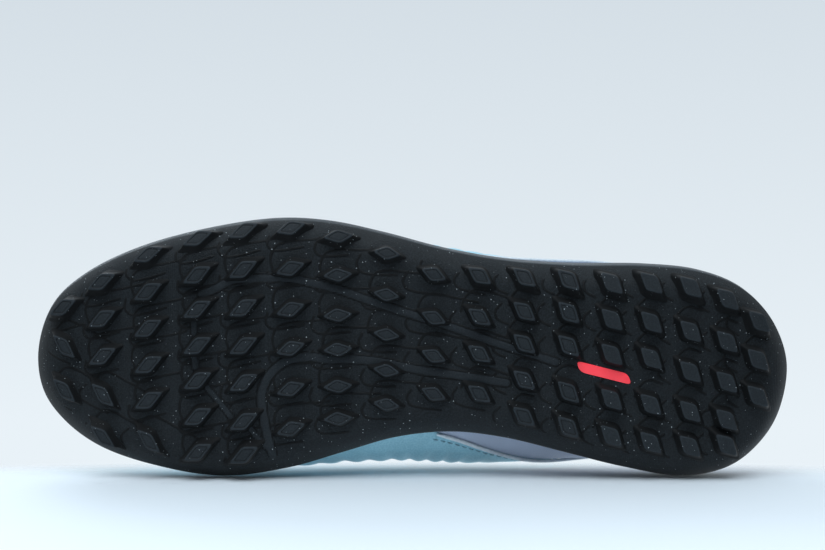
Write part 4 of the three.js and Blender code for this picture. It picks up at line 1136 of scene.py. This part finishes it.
@dataclass
class Upper:
    """The skin, its overlays and seams, and everything behind it."""

    rib_pitch: float = 9.6
    rib_height: float = 0.9
    seam_gap: float = 0.0006
    sweep_start: float = 0.12
    sweep_low: float = 10.5
    sweep_high: float = 102.0
    skin_rise: float = 85.0
    eyelet_row: float = 0.925
    eyelet_pairs: int = 6
    foam_low: float = 0.78
    foam_edge: float = 0.6
    puff_reach: float = 0.1
    counter_reach: float = 0.12

    def __post_init__(self) -> None:
        """Sets out the seams."""
        at = LASTED.station
        self.vamp_seam = {side: at(side, -58) for side in Side}
        along = np.linspace(self.sweep_low - 2, self.sweep_high + 2, 80)
        self.stations = {side: (along, np.array([at(side, x) for x in along])) for side in Side}
        self.collar_reach = 0.5 - at(Side.LATERAL, 30)
        self.binding_reach = 0.5 - at(Side.LATERAL, 26)
        self.split = {side: at(side, 22) for side in Side}
        self.depth = SIZE.skin + SIZE.layer_gap + SIZE.slack
        self.space = SIZE.stiffener + SIZE.layer_gap + 2 * SIZE.slack

    def share(self, millimetres: float) -> float:
        """A share of the way round that is so many millimetres long."""
        return millimetres / LASTED.length

    def panel_seam(self, side: Side) -> Callable[[Array], Array]:
        """The heel panel's front edge, which sweeps back from the arch as it rises."""
        return lambda v: np.interp(self.sweep(v), *self.stations[side])

    def sweep(self, v: Array) -> Array:
        """How far along the shoe that edge is."""
        rise = np.clip((v - self.sweep_start) / (1 - self.sweep_start), 0, 1)
        return mix(self.sweep_low, self.sweep_high, 1 - (1 - rise) ** 3.6)

    def around_heel(self, s: Array) -> Array:
        """Distance round from the back of the heel."""
        return np.abs(s - np.floor(s) - 0.5)

    def padding(self, s: Array, v: Array) -> Array:
        """The collar padding's thickness."""
        level = between(self.collar_reach, self.collar_reach - 0.07, self.around_heel(s))
        upright = between(0.42, 0.78, v) * mix(1, 0.35, between(0.86, 1, v))
        return SIZE.collar_padding * level * upright

    def beside_counter(self, s: Array, v: Array) -> Array:
        """Where the lining makes room for the heel counter."""
        return (between(self.counter_reach + 0.06, self.counter_reach + 0.01, self.around_heel(s))
                * between(0.86, 0.72, v))

    def lining_depth(self, s: Array, v: Array) -> Array:
        """How deep below the skin the lining lies."""
        u = s - np.floor(s)
        toe = (between(self.puff_reach + 0.05, self.puff_reach + 0.01, np.minimum(u, 1 - u))
               * between(0.8, 0.68, v))
        foam = (between(self.collar_reach, self.collar_reach - 0.03, self.around_heel(s))
                * between(self.foam_low - 0.1, self.foam_low - 0.01, v))
        return (self.depth + self.space * np.maximum(toe, self.beside_counter(s, v)) + self.padding(s, v)
                + (self.foam_edge + SIZE.layer_gap) * foam)

    def relief(self, s: Array, v: Array) -> Array:
        """Pressed ribs that fan over the arch and the side."""
        x = LASTED.edge(s)[..., 0]
        zone = between(-62, -30, x) * between(50, 12, x) * between(0.12, 0.3, v) * between(0.84, 0.66, v)
        # The ribs lean forward as they rise.
        phase = 2 * math.pi * (x + 26 * v) / self.rib_pitch
        crown = (0.5 + 0.5 * np.cos(phase)) ** 0.7
        return -self.rib_height * zone * (1 - crown)

    def skin(self, name: str, start: Reading, stop: Reading, columns: int, slot: str,
             finishes: Finishes) -> bpy.types.Object:
        """One panel of the skin, with the pressed ribs in its outer face."""
        grid = Sheet(LASTED.upper, start, stop, 0.0, 1.0, 70, columns)
        points, faces = grid.solid(self.relief, -SIZE.skin, 0.35, "lrt")
        return piece(name, points, faces, Body.SHOE, finishes[slot], [name.removesuffix("_skin")],
                     {"lay": grid.lay()})

    def build(self, finishes: Finishes) -> None:
        """Makes the skin, the overlays, the seams, the padding and the linings."""
        lat, med = Side.LATERAL, Side.MEDIAL
        g = self.seam_gap
        self.skin("vamp_skin", self.vamp_seam[med] - 1 + g, self.vamp_seam[lat] - g, 190, "skin_teal",
                  finishes)
        rows = []
        for side in Side:
            seam = self.panel_seam(side)
            near = -side.sign * g
            ends = [self.vamp_seam[side] + near, lambda v, m=seam, k=near: m(v) - k]
            heel = [lambda v, m=seam, k=near: m(v) + k, 0.5 - near]
            if side is med:
                ends, heel = ends[::-1], heel[::-1]
            quarter = self.skin(f"quarter_{side.value}_skin", *ends, 120, "skin_teal", finishes)
            self.skin(f"heel_panel_{side.value}_skin", *heel, 110, "panel_lavender", finishes)
            stay = self.overlay(side, finishes)
            self.punch(side, [quarter, stay])
            self.piping(side, finishes)
            rows += self.side_rows(side)
        self.strip(finishes)
        self.inside(finishes)
        self.binding(finishes)
        points, faces = joined([stitches(*row) for row in rows])
        piece("upper_stitching", points, faces, Body.SHOE, finishes.thread)

    def overlay(self, side: Side, finishes: Finishes) -> bpy.types.Object:
        """The eyestay, welded over the skin along the throat."""
        ends = [LASTED.station(side, -98), LASTED.station(side, 24)]
        grid = Sheet(LASTED.upper, *sorted(ends), 0.84, 0.998, 16, 130)
        points, faces = grid.solid(SIZE.gap + SIZE.overlay, SIZE.gap, 0.45)
        return piece(f"eyestay_{side.value}_overlay", points, faces, Body.SHOE,
                     finishes["skin_teal"], [f"eyestay_{side.value}"], {"lay": grid.lay()})

    def punch(self, side: Side, pieces: Sequence[bpy.types.Object]) -> None:
        """Cuts the eyelet holes through the quarter and the eyestay."""
        ends = (LASTED.station(side, -84), LASTED.station(side, 12))
        s = np.linspace(*ends, self.eyelet_pairs)
        v = np.full_like(s, self.eyelet_row)
        centres, axes = LASTED.upper(s, v), LASTED.normal(LASTED.upper, s, v)
        around = 28
        a = np.linspace(0, 2 * np.pi, around, endpoint=False)
        parts = []
        for c, n in zip(centres, axes):
            t = np.cross(n, (0.0, 0.0, 1.0))
            t /= np.linalg.norm(t)
            b = np.cross(n, t)
            ring = (t[None] * np.cos(a)[:, None] + b[None] * np.sin(a)[:, None]) * SIZE.eyelet / 2
            points = np.vstack([c + ring - n * 4.5, c + ring + n * 4.5])
            faces = [list(f) for f in grid_faces(2, around, wrap=True)]
            faces += [list(range(around))[::-1], list(range(around, 2 * around))]
            parts.append((points, faces))
        points, faces = joined(parts)
        mesh = bpy.data.meshes.new("punch")
        mesh.from_pydata(place(points).tolist(), [], faces)
        cutter = bpy.data.objects.new("punch", mesh)
        bpy.context.scene.collection.objects.link(cutter)
        for obj in pieces:
            cut = obj.modifiers.new("holes", "BOOLEAN")
            cut.operation, cut.solver, cut.object = "DIFFERENCE", "EXACT", cutter
            graph = bpy.context.evaluated_depsgraph_get()
            made = bpy.data.meshes.new_from_object(obj.evaluated_get(graph))
            obj.modifiers.clear()
            obj.data = made
        bpy.data.objects.remove(cutter)

    def piping(self, side: Side, finishes: Finishes) -> None:
        """The pale cord that covers the seam between the quarter and the heel panel."""
        v = np.linspace(0.12, 0.99, 90)
        path = line_on(LASTED.upper, self.panel_seam(side)(v), v, SIZE.gap + 0.45)
        points, faces = tube(*path, 1.7, 1.3, 12)
        piece(f"piping_{side.value}_cord", points, faces, Body.SHOE, finishes["trim_light"],
              [f"piping_{side.value}"])

    def side_rows(self, side: Side) -> list[tuple[Array, Array]]:
        """Lines for the stitching on one side: beside the piping, on the vamp seam and the eyestay."""
        v = np.linspace(0.14, 0.8, 70)
        lean = np.hypot(1, (self.sweep(v + 0.02) - self.sweep(v - 0.02)) / (0.04 * self.skin_rise))
        lines = [(self.panel_seam(side)(v) + side.sign * self.share(2.4) * lean, v)]
        v = np.linspace(0.12, 0.8, 60)
        lines += [(np.full_like(v, self.vamp_seam[side] + side.sign * self.share(off)), v)
                  for off in (-1.6, -3.2, 1.6)]
        rows = [line_on(LASTED.upper, s, v, self.relief(s, v)[:, None] + THREAD_LIFT) for s, v in lines]
        s = np.linspace(LASTED.station(side, -96), LASTED.station(side, 22), 160)
        return rows + [line_on(LASTED.upper, s, np.full_like(s, row), SIZE.gap + SIZE.overlay + THREAD_LIFT)
                       for row in (0.86, 0.982)]

    def strip(self, finishes: Finishes) -> None:
        """The strip that covers the seam at the back of the heel, and its two rows of stitches."""
        half = lambda v: self.share(1) * mix(9, 6, v)
        grid = Sheet(LASTED.upper, lambda v: 0.5 - half(v), lambda v: 0.5 + half(v), 0.12, 0.985, 60, 24)
        points, faces = grid.solid(SIZE.gap + SIZE.overlay, SIZE.gap, 0.45)
        piece("heel_strip_overlay", points, faces, Body.SHOE, finishes["skin_teal"],
              ["heel_strip"], {"lay": grid.lay()})
        v = np.linspace(0.15, 0.96, 60)
        lift = SIZE.gap + SIZE.overlay + THREAD_LIFT
        rows = [line_on(LASTED.upper, 0.5 + way * (half(v) - self.share(1.5)), v, lift) for way in (-1, 1)]
        points, faces = joined([stitches(*row) for row in rows])
        piece("heel_stitching", points, faces, Body.SHOE, finishes.thread)

    def inside(self, finishes: Finishes) -> None:
        """The linings and the collar's foam."""
        board = lambda s: LASTED.rim_row * (SIZE.board + SIZE.gap) / (
            LASTED.rim_top(s) + LASTED.rim_clearance - LASTED.midsole_top(LASTED.edge(s)[..., 0]) - SIZE.gap)
        lat, med = Side.LATERAL, Side.MEDIAL
        g = self.seam_gap
        spans = {"vamp_lining": (self.split[med] - 1 + g, self.split[lat] - g, 0.86, 150),
                 "collar_lining": (self.split[lat] + g, self.split[med] - g, 0.985, 130)}
        for name, (start, stop, high, columns) in spans.items():
            grid = Sheet(LASTED.upper, start, stop, board, high, 50, columns)
            points, faces = grid.solid(lambda s, v: -self.lining_depth(s, v),
                                       lambda s, v: -self.lining_depth(s, v) - SIZE.lining, 0.0, "")
            cloth = piece(f"{name}_cloth", points, faces, Body.SHOE, finishes["lining_dark"],
                          [name], {"lay": grid.lay()})
            self.declare(cloth, grid, ["outsole_shell"])
        reach = self.collar_reach - 0.035
        grid = Sheet(LASTED.upper, 0.5 - reach, 0.5 + reach, self.foam_low, 0.985, 18, 110)
        front = lambda s, v: -self.depth - self.space * self.beside_counter(s, v)
        points, faces = grid.solid(front, lambda s, v: front(s, v) - self.foam_edge - self.padding(s, v), 0.3)
        pad = piece("collar_foam_pad", points, faces, Body.SHOE, finishes["padding_foam"],
                    ["collar_foam"])

    @staticmethod
    def declare(cloth: bpy.types.Object, grid: Sheet, rests_on: list[str]) -> None:
        """Takes a sheet of cloth, its grid and what it rests on, and does nothing with them."""

    def binding(self, finishes: Finishes) -> None:
        """A folded tape over the collar's edge."""
        s = 0.5 + np.linspace(-self.binding_reach, self.binding_reach, 180)
        one = np.ones_like(s)
        top = LASTED.upper(s, one)
        rise = top - LASTED.upper(s, 0.99 * one)
        rise /= np.linalg.norm(rise, axis=1, keepdims=True)
        side = LASTED.normal(LASTED.upper, s, one)
        depth = -(self.lining_depth(s, one) + SIZE.lining + 0.1)
        profile = [(0, 0.45), (-0.01, 0.9), (0.02, 1.4), (0.12, 1.9), (0.3, 2.3), (0.5, 2.45), (0.7, 2.3),
                   (0.88, 1.9), (0.98, 1.4), (1, 0.9), (1, 0.45)]
        ring = [top + side * mix(0.1, depth, k)[:, None] + rise * up for k, up in profile]
        points = np.stack(ring, 1).reshape(-1, 3)
        n = len(profile)
        faces = [list(f)[::-1] for f in grid_faces(len(s), n, wrap=True)]
        faces += [list(range(n)), list(range((len(s) - 1) * n, len(s) * n))[::-1]]
        gone = lengths(top)
        lay = np.stack([np.repeat(gone, n), np.tile(np.arange(n) * 0.8, len(s)), np.zeros(len(s) * n)], -1)
        piece("collar_binding", points, faces, Body.SHOE, finishes["panel_lavender"],
              ["topline_binding"], {"lay": lay})


# ---- Tongue ----------------------------------------------------------------------------------------


@dataclass
class Tongue:
    """The padded tongue: face, foam, lining and the loop that guides a lace."""

    # Along it: q, x, the throat's half width and height there, the fall at the edge, its own half width.
    rows: tuple = (
        (0, -76, 11, 55.5, 0.08, 19), (0.14, -60, 11.5, 56.5, 0.1, 21), (0.34, -38, 13, 63.5, 0.2, 24),
        (0.52, -19, 14, 71.5, 0.42, 25), (0.68, -4, 15, 79.5, 0.62, 24), (0.8, 6, 15.5, 85.5, 0.7, 18),
        (0.9, 15, 16, 95, 0.7, 16), (1, 27, 18, 106, 0.6, 24),
    )
    drop: float = 2.8
    loop: tuple = (0.7, 0.76, 0.3)

    def column(self, index: int, q: Array) -> Array:
        """One column of the rows, read smoothly at q."""
        table = np.array(self.rows, float)
        x, y = table[:, 0], table[:, index]
        n = len(x)
        after, before = np.minimum(np.arange(n) + 1, n - 1), np.maximum(np.arange(n) - 1, 0)
        slope = (y[after] - y[before]) / (x[after] - x[before])
        i = np.clip(np.searchsorted(x, q, side="left") - 1, 0, n - 2)
        h = x[i + 1] - x[i]
        return hermite((q - x[i]) / h, h, (y[i], y[i + 1]), (slope[i], slope[i + 1]))

    def surface(self, q: Array, p: Array) -> Array:
        """A point of the tongue's face: q to its free top, p from the lateral to the medial edge."""
        x, half, height, fall, width = (self.column(i, q) for i in range(1, 6))
        angle = np.arctan(fall)
        radius = half / np.sin(angle)
        turn = p * width / radius
        apex = height + radius * (1 - np.cos(angle))
        middle = np.interp(x, *np.array(OPENING_MIDDLE, float).T)
        fallen = apex - radius * (1 - np.cos(turn)) - self.drop
        return np.stack([x, middle + radius * np.sin(turn), fallen], -1)

    def sheet(self, margin: float, rows: int = 50, columns: int = 110) -> Sheet:
        """A layer's grid, drawn in by a margin."""
        end = lambda p: 1 - 0.07 * p**4 - margin
        return Sheet(self.surface, margin, end, -(1 - margin), 1 - margin, rows, columns)

    def build(self, finishes: Finishes) -> None:
        """Makes the tongue's layers."""
        grid = self.sheet(0.0)
        # Sewn channels 13 mm apart across the top half of the face, 110 mm long.
        quilt = lambda s, v: (-0.55 * ridge(((s * 110 + 40) % 13) - 6.5, 1.6) * between(0.42, 0.5, s)
                              * between(0.78, 0.6, np.abs(v)) * between(0.97, 0.9, s))
        points, faces = grid.solid(quilt, -SIZE.tongue_face, 0.35)
        piece("tongue_face_cloth", points, faces, Body.TONGUE, finishes["skin_teal"],
              ["tongue_face"], {"lay": grid.lay()})
        grid = self.sheet(0.03)
        depth = SIZE.tongue_face + SIZE.layer_gap
        points, faces = grid.solid(-depth, lambda s, v: -depth - SIZE.tongue_padding + 1.2 * (
            1 - ease(np.minimum.reduce([(1 - np.abs(v)) * 24, (1 - s) * 110, s * 110]) / 5)), 0.5)
        pad = piece("tongue_foam_pad", points, faces, Body.TONGUE, finishes["padding_foam"],
                    ["tongue_foam"])
        grid = self.sheet(0.01)
        depth += SIZE.tongue_padding + SIZE.layer_gap
        points, faces = grid.solid(-depth, -depth - SIZE.lining, 0.0, "")
        cloth = piece("tongue_lining_cloth", points, faces, Body.TONGUE,
                      finishes["lining_dark"], ["tongue_lining"], {"lay": grid.lay()})
        Upper.declare(cloth, grid, ["tongue_foam_pad"])
        start, stop, half = self.loop
        grid = Sheet(self.surface, start, stop, -half, half, 40, 16)
        arch = lambda v: 1.6 * (1 - (v / half) ** 4)
        points, faces = grid.solid(lambda s, v: SIZE.gap + 1.2 + arch(v),
                                   lambda s, v: SIZE.gap + arch(v), 0.3)
        piece("tongue_loop_webbing", points, faces, Body.TONGUE, finishes["webbing_light"],
              ["tongue_loop"], {"lay": grid.lay()})
        q = np.linspace(0.03, 0.955, 150)
        lines = [(q, way * (1 - 2.4 / self.column(5, q))) for way in (-1, 1)]
        p = np.linspace(-0.86, 0.86, 60)
        lines.append((1 - 0.07 * p**4 - 0.025, p))
        points, faces = joined([stitches(*line_on(self.surface, *line, THREAD_LIFT)) for line in lines])
        piece("tongue_stitching", points, faces, Body.TONGUE, finishes.thread)


# ---- Inside the sole -------------------------------------------------------------------------------


@dataclass
class SoleStack:
    """The sockliner, and finishes for the hidden layers that keep the frame's shape."""

    carried: tuple = (("midsole", "midsole_foam"), ("strobel_board", "board_felt"), ("toe_puff", "stiffener"),
                      ("heel_counter", "stiffener"))
    columns: int = 150
    across: int = 24

    def build(self, finishes: Finishes, upper: Upper) -> None:
        """Dresses the frame's own nodes and makes the sockliner."""
        for node, slot in self.carried:
            obj = bpy.data.objects[node]
            obj.data.materials.clear()
            obj.data.materials.append(finishes[slot])
            log.info("%s: dressed as %s", node, slot)
        foot = lambda s: (LASTED.foot_inset(s) + upper.lining_depth(s, np.full_like(s, 0.05)) + SIZE.lining
                          + SIZE.layer_gap)
        toe = lambda s: np.minimum(s - np.floor(s), 1 - (s - np.floor(s)))
        self.inset = lambda s: foot(s) + SIZE.sock_play * between(0.3, 0.42, toe(s))
        foam_low = lambda x: LASTED.board_top(x) + SIZE.gap
        foam_high = lambda x: foam_low(x) + SIZE.sock_foam
        foam = self.pad("sockliner_foam_pad", foam_low, foam_high, 0.9, "sock_foam", finishes,
                        "sockliner_foam")
        cloth, area, width, length = self.pad(
            "sockliner_top_cloth", lambda x: foam_high(x) + SIZE.gap, lambda x: foam_high(x) + SIZE.gap
            + SIZE.sock_cloth, 0.3, "sock_cloth", finishes, "sockliner_cloth")

    def pad(self, name: str, low: Callable[[Array], Array], high: Callable[[Array], Array], soft: float,
            slot: str, finishes: Finishes, node: str) -> tuple[bpy.types.Object, float, float, float]:
        """A flat layer with softened edges.

        Args:
            name: the piece's name.
            low: height of its underside along the shoe.
            high: height of its top.
            soft: how far its edges round off.
            slot: its material slot.
            finishes: the shoe's finishes.
            node: the CAD node it stands for.
        Returns:
            The object, its flat area, width and length in millimetres.
        """
        u = np.linspace(0, 0.5, self.columns)
        t = np.linspace(0, 1, self.across)
        sides = [LASTED.inset(s, self.inset(s)) for s in (u, 1 - u)]
        flat = mix(sides[0][:, None, :], sides[1][:, None, :], t[None, :, None])
        x, y = flat[..., 0], flat[..., 1]
        width = np.linalg.norm(sides[1] - sides[0], axis=1)[:, None]
        margin = float(self.inset(np.array(0.25)))
        edge = np.minimum(np.minimum(t, 1 - t)[None, :] * width, LASTED.near(x, y) - margin)
        drop = soft * (1 - ease(edge / 2.0))
        faces = [np.stack([x, y, high(x) - drop], -1), np.stack([x, y, low(x) + drop * 0.3], -1)]
        n = x.size
        ring = border(self.columns, self.across)
        nxt = np.roll(ring, -1)
        quads = np.vstack([grid_faces(self.columns, self.across, turn=True),
                           grid_faces(self.columns, self.across, n),
                           np.stack([ring, nxt, nxt + n, ring + n], -1)])[:, ::-1]
        points = np.vstack([f.reshape(-1, 3) for f in faces])
        lay = np.stack([x.ravel(), y.ravel(), np.zeros(n)], -1)
        obj = piece(name, points, quads, Body.SOCKLINER, finishes[slot], [node],
                    {"lay": np.vstack([lay, lay])})
        area = float(np.trapz(width[:, 0], np.mean([s[:, 0] for s in sides], axis=0)))
        return obj, abs(area), float(np.ptp(y)), float(np.ptp(x))


# ---- Stage -----------------------------------------------------------------------------------------


@dataclass
class Studio:
    """A pale floor, a pale backdrop, soft lights, and the camera that looks at the sole."""

    distance: float = 0.52
    tilt: float = 2.1
    aim: tuple = (0.96, -26.4, 4.0)
    frame_width: float = 316.0
    sensor: float = 36.0
    floor_reach: float = 3.0
    floor_gap: float = 0.0003
    side_gap: float = 0.0002
    side_reach: tuple = (-0.9, 0.08)
    # By axis, how far the patch of the side sheet goes each way, in metres.
    patch_reach: tuple = ((0, (0.3, -0.3)), (2, (0.05, -0.34)))

    def build(self) -> None:
        """Makes the stage, the lights and the camera."""
        bpy.context.scene.view_settings.view_transform = "Standard"
        self.floors()
        self.world()
        self.lights()
        self.camera()

    def sheet_of_paper(self, name: str, corners: Sequence, colour: str, patch: bool = False) -> None:
        """A one-sided pale sheet, which fades out round the shoe if it is a patch."""
        mesh = bpy.data.meshes.new(name)
        mesh.from_pydata(corners, [], [(0, 1, 2, 3)])
        obj = bpy.data.objects.new(name, mesh)
        bpy.context.scene.collection.objects.link(obj)
        material = bpy.data.materials.new(name + "_paper")
        material.use_nodes = True
        tree = material.node_tree
        shader = tree.nodes["Principled BSDF"]
        shader.inputs["Base Color"].default_value = linear(colour)
        shader.inputs["Roughness"].default_value = 0.9
        clear = add(tree, "ShaderNodeBsdfTransparent")
        facing = add(tree, "ShaderNodeNewGeometry")
        unseen = facing.outputs["Backfacing"]
        if patch:
            split = add(tree, "ShaderNodeSeparateXYZ", {}, {0: facing.outputs["Position"]})
            # 1 is the edge of the patch, along the shoe and up or down beside it.
            x, z = ([add(tree, "ShaderNodeMath", {"operation": "MULTIPLY"}, {
                0: split.outputs[axis], 1: 1 / reach}).outputs[0] for reach in reaches]
                for axis, reaches in self.patch_reach)
            squares = []
            for pair in (x, z):
                far = add(tree, "ShaderNodeMath", {"operation": "MAXIMUM"}, dict(enumerate(pair)))
                squares.append(add(tree, "ShaderNodeMath", {"operation": "POWER"}, {
                    0: far.outputs[0], 1: 2.0}).outputs[0])
            total = add(tree, "ShaderNodeMath", {"operation": "ADD"}, dict(enumerate(squares))).outputs[0]
            fade = add(tree, "ShaderNodeMapRange", {"interpolation_type": "SMOOTHSTEP"}, {
                "Value": total, "From Min": 0.12, "From Max": 1.0, "To Min": 0.0, "To Max": 1.0}).outputs[0]
            unseen = add(tree, "ShaderNodeMath", {"operation": "MAXIMUM"}, {0: unseen, 1: fade}).outputs[0]
        both = add(tree, "ShaderNodeMixShader", {}, {0: unseen, 1: shader.outputs[0], 2: clear.outputs[0]})
        tree.links.new(both.outputs[0], tree.nodes["Material Output"].inputs[0])
        mesh.materials.append(material)
        obj.visible_shadow = False
        obj.visible_diffuse = obj.visible_glossy = patch

    def floors(self) -> None:
        """The floor that the shoe stands on, and the sheet that its side lies on for the sole's view."""
        r, paper = self.floor_reach, "#e6edf2"
        y, z = CAD_BOX[1][1] + self.side_gap, -self.floor_gap
        low, high = self.side_reach
        self.sheet_of_paper("floor", [(-r, -r, z), (r, -r, z), (r, r, z), (-r, r, z)], paper)
        corners = [(-r, y, low), (r, y, low), (r, y, high), (-r, y, high)]
        self.sheet_of_paper("side_sheet", corners, paper, patch=True)

    def world(self) -> None:
        """A pale surround, darker on the side that the sole faces."""
        world = bpy.data.worlds.new("surround")
        bpy.context.scene.world = world
        world.use_nodes = True
        tree = world.node_tree
        where = add(tree, "ShaderNodeTexCoord")
        split = add(tree, "ShaderNodeSeparateXYZ", {}, {0: where.outputs["Generated"]})
        ramp = add(tree, "ShaderNodeMapRange", {}, {
            "Value": split.outputs[1], "From Min": -0.2, "From Max": 0.14, "To Min": 0.0, "To Max": 1.0})
        pale = add(tree, "ShaderNodeMix", {"data_type": "RGBA"}, {
            "Factor": ramp.outputs[0], 6: linear("#d2dce4"), 7: linear("#e9f2f8")})
        below = add(tree, "ShaderNodeMapRange", {"interpolation_type": "SMOOTHSTEP"}, {
            "Value": split.outputs[2], "From Min": -0.25, "From Max": -0.02, "To Min": 0.0, "To Max": 1.0})
        both = add(tree, "ShaderNodeMix", {"data_type": "RGBA"}, {
            "Factor": below.outputs[0], 6: linear("#4a5056"), 7: pale.outputs[2]})
        tree.links.new(both.outputs[2], tree.nodes["Background"].inputs[0])

    def lamp(self, name: str, at: tuple, towards: tuple, size: tuple, power: float) -> None:
        """A soft rectangular light."""
        data = bpy.data.lights.new(name, "AREA")
        data.shape = "RECTANGLE"
        data.size, data.size_y = size
        data.energy = power
        data.color = (0.84, 0.93, 1.0)
        obj = bpy.data.objects.new(name, data)
        obj.location = at
        obj.rotation_euler = (Vector(towards) - Vector(at)).to_track_quat("-Z", "Y").to_euler()
        bpy.context.scene.collection.objects.link(obj)

    def lights(self) -> None:
        """Soft boxes: two above for the upper, and a long one over the sole's lateral edge."""
        self.lamp("key_above", (-0.5, -0.8, 1.1), (0, 0, 0.04), (0.9, 0.9), 8)
        self.lamp("fill_above", (0.8, 0.7, 0.9), (0, 0, 0.04), (0.9, 0.9), 5)
        self.lamp("sole_key", (-0.1, -0.8, -0.42), (0, 0, 0), (1.2, 0.5), 9)
        self.lamp("sole_fill", (0.0, 0.1, -1.2), (0, 0, 0), (1.0, 0.6), 0.8)

    def camera(self) -> None:
        """The camera below the shoe, looking up at the sole, with the lateral side at the top."""
        data = bpy.data.cameras.new("sole_view")
        data.sensor_width = self.sensor
        data.lens = self.sensor * self.distance / (self.frame_width * MM)
        data.clip_start = 0.01
        tilt = math.radians(self.tilt)
        target = Vector(place(np.array(self.aim)).tolist())
        view = Vector((0, math.sin(tilt), math.cos(tilt)))
        up = Vector((0, -math.cos(tilt), math.sin(tilt)))
        right = view.cross(up)
        obj = bpy.data.objects.new("sole_view", data)
        obj.matrix_world = Matrix.Translation(target - view * self.distance) @ Matrix(
            (right, up, -view)).transposed().to_4x4()
        bpy.context.scene.collection.objects.link(obj)
        bpy.context.scene.camera = obj


def main() -> None:
    """Builds every piece in order."""
    logging.basicConfig(level=logging.INFO, format="%(name)s: %(message)s")
    Studio().build()
    finishes = Finishes()
    Tread().build(finishes)
    upper = Upper()
    upper.build(finishes)
    Tongue().build(finishes)
    SoleStack().build(finishes, upper)


if __name__ == "__main__":
    main()
